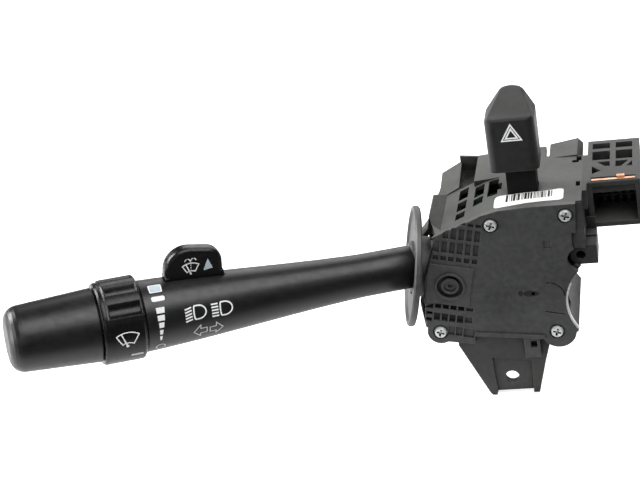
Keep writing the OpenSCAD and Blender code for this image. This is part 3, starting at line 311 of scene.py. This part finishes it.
def metal(name, base, rough, tarnish, scratch=(1.0, 1.0, 1.0), patch=0.35, metallic=1.0, cloud_scale=300.0,
          shade_reach_mm=0.0):
    """Metal: tarnish in patches, scratches, bright softened edges, slots darkened as painted shade."""
    s = Shader(name)
    cloud = s.noise(cloud_scale, detail=4.0, rough=0.65)
    lines = s.noise(SCRATCH_SCALE, detail=3.0, rough=0.6, stretch=scratch)
    rounded = s.rounded(METAL_ROUND_MM)
    colour = s.mix(s.span(cloud, *TARNISHED, 0.0, patch), base, tarnish)
    # Painted shade: deep slots, such as a screw's cross, go almost black
    if shade_reach_mm:
        dark = tuple(c * SLOT_SHADE_TONE for c in base)
        colour = s.mix(s.span(s.hollow(shade_reach_mm), *SCREW_SLOT_SHADE), dark, colour)
    bright = tuple(min(1.0, c * EDGE_SHINE) for c in base)
    s.link(s.mix(s.times(s.edge(rounded), EDGE_SHARE), colour, bright), s.bsdf.inputs["Base Color"])
    s.link(s.span(cloud, *SOFT, rough - METAL_SMOOTHER, rough + METAL_ROUGHER), s.bsdf.inputs["Roughness"])
    s.bsdf.inputs["Metallic"].default_value = metallic
    s.link(s.bump(lines, SCRATCH_BUMP, SCRATCH_MM, rounded), s.bsdf.inputs["Normal"])
    return s.material


# Ink: its pattern, then how far each effect goes
INK_SCALE, INK_BUMP, INK_MM = 1500.0, 0.3, 0.01
FADED_TONE = 0.45
INK_SMOOTHER, INK_ROUGHER = 0.05, 0.1


def ink(name, base, rough=0.45, fade=0.12):
    """Printed ink: slightly uneven cover."""
    s = Shader(name)
    cloud = s.noise(INK_SCALE, detail=3.0, rough=0.6)
    faded = tuple(c * FADED_TONE for c in base)
    s.link(s.mix(s.span(cloud, *FADED, 0.0, fade), base, faded), s.bsdf.inputs["Base Color"])
    s.link(s.span(cloud, *SOFT, rough - INK_SMOOTHER, rough + INK_ROUGHER), s.bsdf.inputs["Roughness"])
    s.link(s.bump(cloud, INK_BUMP, INK_MM), s.bsdf.inputs["Normal"])
    return s.material


# Materials: one for each slot of the record, the inks, and the finishes of single pieces
# Through plastic() and metal(): edges are partly a painted highlight, dust is partly painted light on top
# faces, and pockets and screw slots get painted shade
MATERIALS = {
    "housing": plastic("housing_nylon", (0.024, 0.024, 0.0235), 0.50, dust_and_top_light=0.32, edge_wear_and_light=0.7,
                       worn_and_lit_tone=(0.16, 0.16, 0.155), round_mm=0.3, patch=0.3, shade_reach_mm=5.0, shade_tone=0.45),
    "cover": plastic("cover_nylon", (0.037, 0.0375, 0.0375), 0.44, grain=2200.0, grain_mm=0.04, edge_wear_and_light=0.8,
                     worn_and_lit_tone=(0.15, 0.15, 0.15), dust_and_top_light=0.3, patch=0.3, shade_reach_mm=2.5, shade_tone=0.4),
    "disc": plastic("disc_plastic", (0.055, 0.055, 0.054), 0.42, edge_wear_and_light=0.5, worn_and_lit_tone=(0.13, 0.13, 0.13),
                    dust_and_top_light=0.2),
    "lever_skin": plastic("lever_soft_paint", (0.0045, 0.0045, 0.0047), 0.36, grain=1500.0,
                          grain_mm=0.05, edge_wear_and_light=0.15, worn_and_lit_tone=(0.05, 0.05, 0.05), round_mm=0.5, patch=0.18),
    "band": plastic("band_satin", (0.004, 0.004, 0.0042), 0.27, grain=3000.0, grain_mm=0.0015, edge_wear_and_light=0.03,
                    worn_and_lit_tone=(0.05, 0.05, 0.05), round_mm=0.8, patch=0.05, specular=0.34),
    "button": plastic("button_grained", (0.013, 0.0132, 0.0133), 0.42, grain=2400.0, grain_mm=0.03,
                      edge_wear_and_light=0.3, worn_and_lit_tone=(0.06, 0.06, 0.06), dust_and_top_light=0.22, round_mm=0.8, patch=0.2, shade_reach_mm=9.0),
    "inner_plastic": plastic("glass_nylon", (0.03, 0.03, 0.031), 0.55, edge_wear_and_light=0.4, patch=0.3),
    "acetal": plastic("natural_acetal", (0.62, 0.60, 0.54), 0.38, grain_mm=0.01, edge_wear_and_light=0.1,
                      worn_and_lit_tone=(0.7, 0.68, 0.6), patch=0.06),
    "zinc": metal("bright_zinc", (0.92, 0.94, 0.93), 0.26, (0.07, 0.075, 0.07), patch=0.5, metallic=0.55,
                  cloud_scale=520.0, shade_reach_mm=1.0),
    "steel": metal("bright_steel", (0.90, 0.90, 0.88), 0.28, (0.45, 0.43, 0.40), scratch=(0.2, 4.0, 4.0),
                   metallic=0.55),
    "dark_steel": metal("black_oxide_steel", (0.10, 0.10, 0.10), 0.38, (0.05, 0.05, 0.05)),
    "spring_wire": metal("spring_wire", (0.55, 0.55, 0.54), 0.32, (0.28, 0.27, 0.25)),
    "copper": metal("copper_alloy", (0.72, 0.40, 0.25), 0.34, (0.36, 0.18, 0.11), scratch=(0.3, 4.0, 4.0)),
    "board": plastic("green_board", (0.02, 0.10, 0.05), 0.35, edge_wear_and_light=0.2, worn_and_lit_tone=(0.3, 0.3, 0.2), patch=0.2),
    "wire_jacket": plastic("red_jacket", (0.30, 0.02, 0.018), 0.45, edge_wear_and_light=0.1, patch=0.15),
}
PRINT = ink("white_print", (0.97, 0.98, 0.98), 0.45, 0.05)
PALE_BLUE = ink("pale_blue_print", (0.55, 0.64, 0.70))
SILVER = ink("silver_print", (0.55, 0.55, 0.54), 0.35)
GREY_PRINT = ink("grey_print", (0.60, 0.61, 0.61))
PAPER = ink("label_paper", (0.86, 0.86, 0.85), 0.5, 0.04)
BAR_INK = ink("label_bars", (0.004, 0.004, 0.005), 0.6)
BLOT = ink("dried_ink", (0.004, 0.004, 0.005), 0.45, 0.6)
# Dark plastic for sheets laid where the housing is in shade: painted shade
SHADE_PANEL = plastic("painted_shade_panel", (0.012, 0.012, 0.0115), 0.5, edge_wear_and_light=0.3, round_mm=0.2, patch=0.3,
                     specular=0.25)
# The button's stem, near black as painted shade under the button
SHADED_STEM = plastic("shaded_stem", (0.003, 0.003, 0.003), 0.5, edge_wear_and_light=0.1, patch=0.2, specular=0.15)
# The connector's blades, coloured near black so that they hardly show inside the socket
NEAR_BLACK_BLADE = metal("near_black_blade", (0.06, 0.045, 0.035), 0.5, (0.02, 0.016, 0.014))
SOCKET = plastic("socket_nylon", (0.027, 0.027, 0.0265), 0.52, edge_wear_and_light=0.5, worn_and_lit_tone=(0.12, 0.12, 0.12), dust_and_top_light=0.2,
                 patch=0.3)
DARK_CARRIER = plastic("black_acetal", (0.012, 0.012, 0.012), 0.4, edge_wear_and_light=0.1, patch=0.1)

# Nodes whose finish isn't the one of their slot; the stem's finish is painted shade
OWN_FINISH = {
    "connector_block": SOCKET,
    "connector_blades": NEAR_BLACK_BLADE,
    "turn_carrier": DARK_CARRIER,
    "hazard_slider": SHADED_STEM,
    "dip_pin": MATERIALS["dark_steel"],
}
for part in frame["record"]["subparts"]:
    finish = OWN_FINISH.get(part["node"], MATERIALS[part["material_slot"]])
    node = frame["nodes"][part["node"]]
    if not node.material_slots:
        node.data.materials.append(finish)
    for held in node.material_slots:
        held.material = finish

# Lever frame: the point that the lever dips about, how far it leans to the driver and rises, and
# from those angles the directions along it, across it to the driver, and above it
PIVOT_MM = Vector((-19.2, 16.0, 44.7))
SWEEP, RISE = math.radians(27.0), math.radians(6.6)
ALONG = Vector((-math.cos(SWEEP) * math.cos(RISE), -math.sin(SWEEP) * math.cos(RISE), math.sin(RISE)))
DRIVER = Vector((math.sin(SWEEP), -math.cos(SWEEP), 0.0))
ABOVE = ALONG.cross(DRIVER)

# Lever skin: its radius at the root, at the flare's end and on the band, and where those two start
ROOT_R_MM, FLARE_END_R_MM, BAND_R_MM = 8.5, 13.85, 15.8
FLARE_FROM_MM, BAND_FROM_MM = 39.0, 128.6
STRAIGHT_FLARE, CURVED_FLARE = 0.55, 0.45

# How far a mark stands off its surface
LIFT_MM = 0.05


def lever_mm(along, driver, above):
    """A point of the lever's own frame, from millimetres to metres."""
    return (PIVOT_MM + ALONG * along + DRIVER * driver + ABOVE * above) * MM


def skin_radius_mm(along):
    """The lever's radius: its shell flares from the disc to the band."""
    if along > BAND_FROM_MM:
        return BAND_R_MM
    u = min(1.0, max(0.0, (along - FLARE_FROM_MM) / (BAND_FROM_MM - FLARE_FROM_MM)))
    swell = STRAIGHT_FLARE * u + CURVED_FLARE * u * u * (3.0 - 2.0 * u)
    return ROOT_R_MM + (FLARE_END_R_MM - ROOT_R_MM) * swell


def skin_point(along, angle, lift):
    """A point off the lever's skin; the angle goes from the top towards the driver."""
    out = skin_radius_mm(along) + lift
    return lever_mm(along, out * math.sin(angle), out * math.cos(angle))


def round_lever(centre_along, centre_deg):
    """Maps a mark's x (to the right) and y (up) onto the lever's round skin."""
    def place(x, y):
        along = centre_along - x
        return skin_point(along, math.radians(centre_deg) - y / skin_radius_mm(along), LIFT_MM)
    return place


def on_skin(near, top_far, low_far, top_deg, low_deg, lift=LIFT_MM):
    """Maps a unit square onto the lever's skin, between two angles; near is its side by the band."""
    def place(x, y):
        top = near + (top_far - near) * x
        low = near + (low_far - near) * x
        along = low + (top - low) * y
        return skin_point(along, math.radians(low_deg + (top_deg - low_deg) * y), lift)
    return place


# Flat shapes of the marks, drawn in millimetres or as a unit square: the longest leg, the least
# number that a mitre is divided by, the decimals to which points are the same, and the heights of
# the rows in a patch with round corners
STEP_MM = 0.5
LEAST_MITRE = 0.35
SAME_DIGITS = 4
ROUND_ROWS = (0.0, 0.03, 0.1, 0.2, 0.35, 0.5, 0.65, 0.8, 0.9, 0.97, 1.0)


def finer(path, closed):
    """The same path with no leg longer than STEP_MM, and its corners kept."""
    points = []
    count = len(path) if closed else len(path) - 1
    for i in range(count):
        a, b = Vector(path[i]), Vector(path[(i + 1) % len(path)])
        parts = max(1, int(math.ceil((b - a).length / STEP_MM)))
        points += [a.lerp(b, k / parts) for k in range(parts)]
    if not closed:
        points.append(Vector(path[-1]))
    return points


def stroke(path, width, closed=False):
    """Quads of a line of even width along a flat path, mitred at its corners."""
    points = finer(path, closed)
    n = len(points)
    left, right = [], []
    for i, p in enumerate(points):
        before = points[i - 1] if closed or i else None
        after = points[(i + 1) % n] if closed or i < n - 1 else None
        d1 = (p - before).normalized() if before is not None else None
        d2 = (after - p).normalized() if after is not None else None
        d1, d2 = d1 or d2, d2 or d1
        n1, n2 = Vector((-d1.y, d1.x)), Vector((-d2.y, d2.x))
        mitre = (n1 + n2) / max(LEAST_MITRE, 1.0 + n1.dot(n2))
        left.append(p + mitre * width / 2)
        right.append(p - mitre * width / 2)
    quads = []
    for i in range(n if closed else n - 1):
        k = (i + 1) % n
        quads.append((left[i], right[i], right[k], left[k]))
    return quads


def grid(at, nx, ny):
    """Quads between the points that at(i, j) gives."""
    return [(at(i, j), at(i + 1, j), at(i + 1, j + 1), at(i, j + 1)) for i in range(nx) for j in range(ny)]


def patch(x0, y0, x1, y1):
    """Quads that fill a rectangle."""
    nx = max(2, int(math.ceil((x1 - x0) / STEP_MM)))
    ny = max(2, int(math.ceil((y1 - y0) / STEP_MM)))

    def at(i, j):
        u, v = i / nx, j / ny
        return Vector((x0 + (x1 - x0) * u, y0 + (y1 - y0) * v))
    return grid(at, nx, ny)


def unit_patch(corner, ratio, parts=12):
    """Quads that fill a unit square with round corners; a lower ratio makes these taller."""
    def at(i, j):
        v = ROUND_ROWS[j]
        end = min(v, 1.0 - v) * ratio
        inset = corner - math.sqrt(max(0.0, corner ** 2 - (corner - end) ** 2)) if end < corner else 0.0
        return Vector((inset + (1.0 - 2 * inset) * i / parts, v))
    return grid(at, parts, len(ROUND_ROWS) - 1)


def filled_triangle(a, b, c, rows=8):
    """Quads that fill a triangle, row by row from a."""
    a, b, c = Vector(a), Vector(b), Vector(c)
    quads = []
    for i in range(rows):
        u, v = i / rows, (i + 1) / rows
        quads.append((a.lerp(b, u), a.lerp(b, v), a.lerp(c, v), a.lerp(c, u)))
    return quads


def arc(cx, cy, rx, ry, start, end, steps=14):
    """Points of an ellipse's arc, degrees counter-clockwise from +x."""
    angles = [math.radians(start + (end - start) * i / steps) for i in range(steps + 1)]
    return [(cx + rx * math.cos(a), cy + ry * math.sin(a)) for a in angles]


def ring(cx, cy, rx, ry, steps):
    """Points of a whole ellipse."""
    return arc(cx, cy, rx, ry, 0, 360, steps)[:-1]


def mesh_object(name, verts, faces, material):
    """A new mesh object with one material."""
    mesh = bpy.data.meshes.new(name)
    mesh.from_pydata(verts, [], faces)
    mesh.update()
    mesh.materials.append(material)
    made = bpy.data.objects.new(name, mesh)
    bpy.context.collection.objects.link(made)
    return made


def mark(name, quads, place, material, body, slot):
    """A thin printed mark, laid on a surface by the function place."""
    verts, faces, index = [], [], {}
    for quad in quads:
        face = []
        for q in quad:
            key = (round(q.x, SAME_DIGITS), round(q.y, SAME_DIGITS))
            if key not in index:
                index[key] = len(verts)
                verts.append(place(*key))
            if index[key] not in face:
                face.append(index[key])
        if len(face) > 2:
            faces.append(face)
    piece = mesh_object(name, verts, faces, material)
    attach(piece, body)


def hazard_sign():
    """Two triangles, one inside the other."""
    outer, outer_line, inner, inner_line = 7.45, 0.55, 4.4, 0.6

    def triangle(size):
        high = size * math.sqrt(3) / 2
        return [(-size / 2, -high / 3), (size / 2, -high / 3), (0.0, high * 2 / 3)]
    return stroke(triangle(outer), outer_line, True) + stroke(triangle(inner), inner_line, True)


def lamp_sign(slant):
    """A lamp body with five light rays to its left; slant lowers their far ends."""
    left, half, line = -2.3, 2.6, 0.55
    body = [(left, half)] + arc(-1.0, 0.0, 3.0, half, 90, -90) + [(left, -half)]
    body += arc(left, 0.0, 0.45, half, 270, 90, 8)[1:-1]
    quads = stroke(body, line, True)
    far, near, top, pitch, ray_line = -6.2, -3.5, 2.3, 1.16, 0.58
    for i in range(5):
        y = top - pitch * i
        quads += stroke([(far, y - slant), (near, y)], ray_line)
    return quads


def arrow_sign(way):
    """An outlined block arrow; way is -1 to the left, 1 to the right."""
    tip, neck, head, shaft, line = 2.6, -0.1, 2.9, 1.2, 0.36
    shape = [(tip, 0.0), (neck, head), (neck, shaft), (-tip, shaft),
             (-tip, -shaft), (neck, -shaft), (neck, -head)]
    return stroke([(x * way, y) for x, y in shape[::way]], line, True)


def spray_strokes(line):
    """Drops down the windscreen's middle, and a dashed bow of water to each side of them."""
    middle, bow_out, bow_y, bow_r = 0.1, 1.55, 3.9, 1.35
    quads = []
    for low, high in ((3.3, 4.2), (1.3, 2.1), (-0.1, 0.7), (-1.5, -0.7)):
        quads += stroke([(middle, low), (middle, high)], line * 0.75)
    for side in (-1, 1):
        for start, end in ((5, 75), (95, 175)):
            turned = (start, end) if side > 0 else (180 - start, 180 - end)
            quads += stroke(arc(bow_out * side + middle, bow_y, bow_r, bow_r, *turned, 6), line * 0.85)
    return quads


def wiper_sign(scale, spray):
    """A windscreen with its wiper arm, and the spray for the washer."""
    line = 0.42 / scale
    centre, outer, inner, left, right = -5.6, 8.4, 4.15, 121, 59
    screen = arc(0.0, centre, outer, outer, left, right) + arc(0.0, centre, inner, inner, right, left, 8)
    quads = stroke(screen, line, True)
    quads += stroke([(-2.3, 2.2), (-0.35, -2.7)], line * 1.15)
    quads += stroke(ring(-0.3, -2.9, 0.3, 0.3, 8), 0.6, True)
    if spray:
        quads += spray_strokes(line)
    return [tuple(q * scale for q in quad) for quad in quads]


# Button: its front face is a plane, with the sign at this x and z
BUTTON_FRONT_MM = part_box("hazard_button")[0][1] / MM
SIGN_X_MM, SIGN_Z_MM = 10.3, 102.1


def on_button(x, y):
    return Vector((SIGN_X_MM + x, BUTTON_FRONT_MM - LIFT_MM, SIGN_Z_MM + y)) * MM


mark("hazard_mark", hazard_sign(), on_button, PRINT, "button", "button")

# Wiper scale: each bar's end by the band, its other end at the top and at the bottom, the angles of
# its top and bottom edge, its corners' radius as a share of its width, and the ratio that shapes them
SCALE_BARS = (
    (125.6, 120.5, 120.7, 12.2, 29.0, 0.11, 1.0),
    (125.6, 120.4, 120.5, 36.2, 44.8, 0.17, 0.7),
    (124.7, 121.4, 121.6, 55.0, 64.2, 0.0, 1.0),
    (124.6, 121.8, 122.0, 67.4, 76.2, 0.0, 1.0),
    (124.4, 122.3, 122.6, 79.0, 87.7, 0.0, 1.0),
    (124.35, 122.9, 123.3, 91.2, 99.6, 0.0, 1.0),
    (124.4, 123.4, 123.7, 102.7, 111.0, 0.0, 1.0),
)
for i, (near, top_far, low_far, top_deg, low_deg, corner, ratio) in enumerate(SCALE_BARS):
    mark("scale_bar_%d" % (i + 1), unit_patch(corner, ratio),
         on_skin(near, top_far, low_far, top_deg, low_deg), PRINT, "lever", "lever_skin")
TINT_LIFT_MM = 0.1
mark("scale_bar_tint", unit_patch(0.1, 1.0), on_skin(125.2, 120.9, 121.1, 13.8, 27.4, TINT_LIFT_MM),
     PALE_BLUE, "lever", "lever_skin")

# Signs on the lever and its band: name, shape, place along, degrees from the top, ink, body, slot
LEVER_SIGNS = (
    ("scale_zero", stroke(ring(0, 0, 1.75, 1.6, 20), 0.4, True), 124.0, 128.5, GREY_PRINT,
     "lever", "lever_skin"),
    ("low_beam_mark", lamp_sign(0.65), 107.8, 73.9, PRINT, "lever", "lever_skin"),
    ("high_beam_mark", lamp_sign(0.0), 97.4, 75.9, PRINT, "lever", "lever_skin"),
    ("turn_left_mark", arrow_sign(-1), 108.5, 110.6, GREY_PRINT, "lever", "lever_skin"),
    ("turn_right_mark", arrow_sign(1), 102.1, 112.4, GREY_PRINT, "lever", "lever_skin"),
    ("wiper_mark", wiper_sign(1.0, False), 137.0, 92.0, PRINT, "band", "band"),
    ("pointer_mark", patch(-2.3, -0.55, 2.3, 0.55), 133.6, 122.3, SILVER, "band", "band"),
)
for name, quads, along, degrees, material, body, slot in LEVER_SIGNS:
    mark(name, quads, round_lever(along, degrees), material, body, slot)

# Paddle: the washer sign and the ramp on the face that it turns to the driver
PADDLE_FACE_MM = 1.4


def on_paddle(along, above):
    """Maps a mark's x (to the right) and y (up) onto the paddle's flat face."""
    def place(x, y):
        return lever_mm(along - x, PADDLE_FACE_MM + LIFT_MM, above + y)
    return place


mark("washer_mark", wiper_sign(0.75, True), on_paddle(107.9, 16.9), PRINT, "paddle", "band")
mark("ramp_mark", filled_triangle((0.2, 3.0), (-1.8, -1.7), (1.95, -1.2)), on_paddle(101.3, 16.8),
     PALE_BLUE, "paddle", "band")

# Label: plain, with bars, on the roof before the button's stem. The roof's x and height come from
# right to left. The front edge runs back over its left part, the rear edge from its bend on.
ROOF_MM = ((34.2, 76.0), (13.0, 76.0), (2.5, 75.3), (-4.1, 73.7))
LABEL_LEFT_MM, LABEL_WIDE_MM = 0.9, 26.5
FRONT_MM, FRONT_RUN_MM, FRONT_STEEPNESS = -4.4, 1.9, 1.4
REAR_MM, REAR_RUN_MM, REAR_BEND = 6.05, 1.6, 0.68
LABEL_LIFT_MM, BARS_LIFT_MM = 0.06, 0.09

# Bars: the widths of gaps and bars in turn, as shares, and the part of the label that they take up
BARS = (0.18, 3, 2, 0.5, 2, 1.6, 1, 3.2, 1.4, 0.7, 0.9, 3, 2.2, 0.8, 1, 1, 1.2, 3.4, 1.2, 2.2, 1.4,
        2.4, 2.2, 1.2, 1, 0.8, 1.3, 0.8, 1, 0.8, 1.2, 0.8, 1, 2.8, 1, 0.9, 1.2, 1, 2.2, 2.8, 1.8, 1.2)
BARS_LEFT, BARS_RIGHT, BARS_LOW, BARS_HIGH = 0.165, 0.835, 0.37, 0.97


def roof_height_mm(x):
    for (x1, z1), (x0, z0) in zip(ROOF_MM, ROOF_MM[1:]):
        if x >= x0:
            return z0 + (z1 - z0) * (x - x0) / (x1 - x0)
    return ROOF_MM[-1][1]


def on_roof(lift):
    """Maps the label's unit square onto the roof: it lies slightly aslant."""
    def place(x, y):
        across = LABEL_LEFT_MM + LABEL_WIDE_MM * x
        front = FRONT_MM + FRONT_RUN_MM * min(1.0, x * FRONT_STEEPNESS)
        rear = REAR_MM + REAR_RUN_MM * max(0.0, x - REAR_BEND) / (1.0 - REAR_BEND)
        return Vector((across, front + (rear - front) * y, roof_height_mm(across) + lift)) * MM
    return place


def label_bars():
    """Bars of uneven width, side by side, in the label's unit square."""
    step = (BARS_RIGHT - BARS_LEFT) / sum(BARS)
    quads, x = [], BARS_LEFT
    for i, wide in enumerate(BARS):
        if i % 2:
            a, b = x, x + wide * step
            corners = ((a, BARS_LOW), (b, BARS_LOW), (b, BARS_HIGH), (a, BARS_HIGH))
            quads.append(tuple(Vector(c) for c in corners))
        x += wide * step
    return quads


mark("roof_label", unit_patch(0.075, 0.4, 40), on_roof(LABEL_LIFT_MM), PAPER, "housing", "housing")
mark("roof_label_bars", label_bars(), on_roof(BARS_LIFT_MM), BAR_INK, "housing", "housing")

# Thin plates on the housing: dark sheets of painted shade on the ledge, on the strip's floor and along the
# block's front edge, and two plates that fill gaps. The heights of its ledge, strip and top, the depths of
# the side land and of the web, and a shade sheet's lift and thickness
LEDGE_MM, STRIP_MM, TOP_MM = 66.5, 68.3, 76.0
SIDE_MM, WEB_MM = -4.9, 9.4
SHADE_SHEET_LIFT_MM, SHADE_SHEET_MM = 0.06, 0.05


def level(height_mm, outline):
    """Corners of a sheet of painted shade that lies on a level face, from its outline's x and y."""
    return [(x, y, height_mm + SHADE_SHEET_LIFT_MM) for x, y in outline]


def upright(shade_reach_mm, outline):
    """Corners of a trim on a face that looks to the driver, from its outline's x and z."""
    return [(x, shade_reach_mm, z) for x, z in outline]


def plate(name, corners, material, thick_mm):
    """A thin plate from its corners in order, given thickness against its normal."""
    top = [Vector(c) * MM for c in corners]
    normal = (top[1] - top[0]).cross(top[2] - top[0]).normalized() * thick_mm * MM
    n = len(top)
    faces = [list(range(n)), list(range(2 * n - 1, n - 1, -1))]
    faces += [[i, n + i, n + (i + 1) % n, (i + 1) % n] for i in range(n)]
    piece = mesh_object(name, top + [c - normal for c in top], faces, material)
    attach(piece, "housing")


LEDGE_OUTLINE = ((-26.0, 8.5), (-23.6, 2.5), (-20.7, -1.6), (-20.7, 29.6), (-26.0, 29.6))
STRIP_OUTLINE = ((-14.7, 28.7), (-9.4, 28.7), (-9.4, 46.4), (-14.7, 46.4))
EDGE_OUTLINE = ((36.2, 10.05), (55.8, 10.05), (55.8, 11.3), (36.2, 11.3))
LAND_OUTLINE = ((30.0, 56.4), (34.1, 56.4), (34.1, 75.6), (32.05, 75.6), (31.2, 63.85), (29.55, 63.85),
                (29.2, 58.1))
WEB_OUTLINE = ((34.25, 55.2), (38.0, 55.2), (38.0, 62.0), (34.25, 62.0))
LAND_THICK_MM, WEB_THICK_MM = -0.2, 0.5

# Sheets of painted shade: on the ledge, on the strip's floor and along the block's front edge
plate("ledge_panel", level(LEDGE_MM, LEDGE_OUTLINE), SHADE_PANEL, SHADE_SHEET_MM)
plate("strip_panel", level(STRIP_MM, STRIP_OUTLINE), SHADE_PANEL, SHADE_SHEET_MM)
plate("block_edge", level(TOP_MM, EDGE_OUTLINE), SHADE_PANEL, SHADE_SHEET_MM)
plate("side_land", upright(SIDE_MM, LAND_OUTLINE), MATERIALS["cover"], LAND_THICK_MM)
plate("block_web", upright(WEB_MM, WEB_OUTLINE), MATERIALS["housing"], WEB_THICK_MM)


def squeezed_spring(name):
    """A spring's coils: a copy of its mesh in place, with the CAD spring hidden."""
    node = frame["nodes"][name]
    mesh = node.data.copy()
    mesh.transform(node.matrix_world)
    coils = bpy.data.objects.new(name + "_coils", mesh)
    bpy.context.collection.objects.link(coils)
    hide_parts(name)
    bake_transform(coils)


# Springs: each one's coils are copied in place, and the CAD spring is hidden
squeezed_spring("hazard_spring")
squeezed_spring("detent_spring")
squeezed_spring("band_spring")
squeezed_spring("paddle_spring")

# Ink spot: dried drops low on the cover's plain field, with their x, z and radii along both
COVER_FACE_MM = -7.0
SPOT_LIFT_MM = 0.04
DROPS_MM = ((7.6, 39.3, 1.0, 1.2), (10.9, 39.0, 2.3, 1.3), (13.2, 38.8, 1.5, 0.9))


def on_cover(x, y):
    return Vector((x, COVER_FACE_MM - SPOT_LIFT_MM, y)) * MM


def drop(cx, cz, rx, rz):
    """Triangles from an ellipse's centre, as quads with that corner twice."""
    rim = ring(cx, cz, rx, rz, 18)
    return [tuple(Vector(c) for c in ((cx, cz), a, b, (cx, cz))) for a, b in zip(rim, rim[1:] + rim[:1])]


mark("ink_spot", [quad for sizes in DROPS_MM for quad in drop(*sizes)], on_cover, BLOT, "housing", "cover")

# Lamps: name, place, aim, width, height and power in watts
SOFT_BOXES = (
    ("key_softbox", (0.42, -0.31, 1.06), (-0.05, 0.0, 0.04), 1.2, 0.84, 13.5),
    ("upper_left_softbox", (-1.0, 0.25, 0.66), (-0.05, 0.0, 0.04), 0.55, 0.55, 14.5),
    ("left_softbox", (-1.2, -0.45, 0.35), (-0.05, 0.0, 0.04), 0.6, 0.6, 11.0),
    ("front_softbox", (-0.1, -1.3, 0.60), (0.0, 0.0, 0.04), 0.6, 0.6, 2.0),
    ("right_softbox", (1.1, -0.4, 0.5), (0.0, 0.0, 0.05), 0.6, 0.6, 0.6),
    ("back_softbox", (0.0, 1.2, 0.7), (0.0, 0.0, 0.05), 1.0, 1.0, 6.5),
)


def add_soft_box(name, at, aim, width, height, power):
    data = bpy.data.lights.new(name, "AREA")
    data.shape = "RECTANGLE"
    data.size = width
    data.size_y = height
    data.energy = power
    lamp = bpy.data.objects.new(name, data)
    bpy.context.collection.objects.link(lamp)
    lamp.location = at
    lamp.rotation_euler = (Vector(aim) - Vector(at)).to_track_quat("-Z", "Y").to_euler()


for soft_box in SOFT_BOXES:
    add_soft_box(*soft_box)

# World: white to the camera, a dim even light for everything else
SEEN_LIGHT, ROOM_LIGHT = 1.0, 0.07


def add_world():
    world = bpy.data.worlds.new("studio")
    bpy.context.scene.world = world
    t = Tree(world, "ShaderNodeOutputWorld")

    def background(strength):
        node = t.add("ShaderNodeBackground")
        node.inputs["Color"].default_value = WHITE
        node.inputs["Strength"].default_value = strength
        return node.outputs[0]
    t.seen_or_not(background(SEEN_LIGHT), background(ROOM_LIGHT))


add_world()

# Floor, in metres: half its side and its gap below the part. To the camera it glows, more so far
# from the part, over FADE_FROM to FADE_TO, and so fades into the white backdrop. All other rays get
# less light back from it towards the driver, over DIM_FROM to DIM_TO.
FLOOR_HALF, FLOOR_GAP = 6.0, 0.0004
FLOOR_TONE, DIM_TONE = 0.85, 0.10
DIM_FROM, DIM_TO = 0.03, 0.10
NEAR_GLOW, FAR_GLOW = 0.75, 1.0
FADE_FROM, FADE_TO = 0.3, 1.2


def floor_material():
    """White to the camera but for shadows; to other rays a matt table, darker towards the driver."""
    material = bpy.data.materials.new("white_floor")
    t = Tree(material, "ShaderNodeOutputMaterial")
    matt = t.add("ShaderNodeBsdfDiffuse")
    matt.inputs["Color"].default_value = (FLOOR_TONE, FLOOR_TONE, FLOOR_TONE, 1.0)
    where = t.add("ShaderNodeTexCoord").outputs["Object"]
    ahead = t.add("ShaderNodeVectorMath", operation="DOT_PRODUCT")
    ahead.inputs[1].default_value = tuple(DRIVER)
    t.link(where, ahead.inputs[0])
    dim = t.add("ShaderNodeBsdfDiffuse")
    t.link(t.span(ahead.outputs["Value"], DIM_FROM, DIM_TO, FLOOR_TONE, DIM_TONE), dim.inputs["Color"])
    away = t.add("ShaderNodeVectorMath", operation="LENGTH")
    t.link(where, away.inputs[0])
    glow = t.add("ShaderNodeEmission")
    glow.inputs["Color"].default_value = WHITE
    fade = t.span(away.outputs["Value"], FADE_FROM, FADE_TO, NEAR_GLOW, FAR_GLOW)
    t.link(fade, glow.inputs["Strength"])
    both = t.add("ShaderNodeAddShader")
    t.link(matt.outputs[0], both.inputs[0])
    t.link(glow.outputs[0], both.inputs[1])
    t.seen_or_not(both.outputs[0], dim.outputs[0])
    return material


def add_floor():
    z = cad_box[0][2] - FLOOR_GAP
    corners = [(x * FLOOR_HALF, y * FLOOR_HALF, z) for x, y in ((-1, -1), (1, -1), (1, 1), (-1, 1))]
    mesh_object("floor", corners, [(0, 1, 2, 3)], floor_material())


add_floor()

bpy.context.scene.view_settings.view_transform = "Standard"
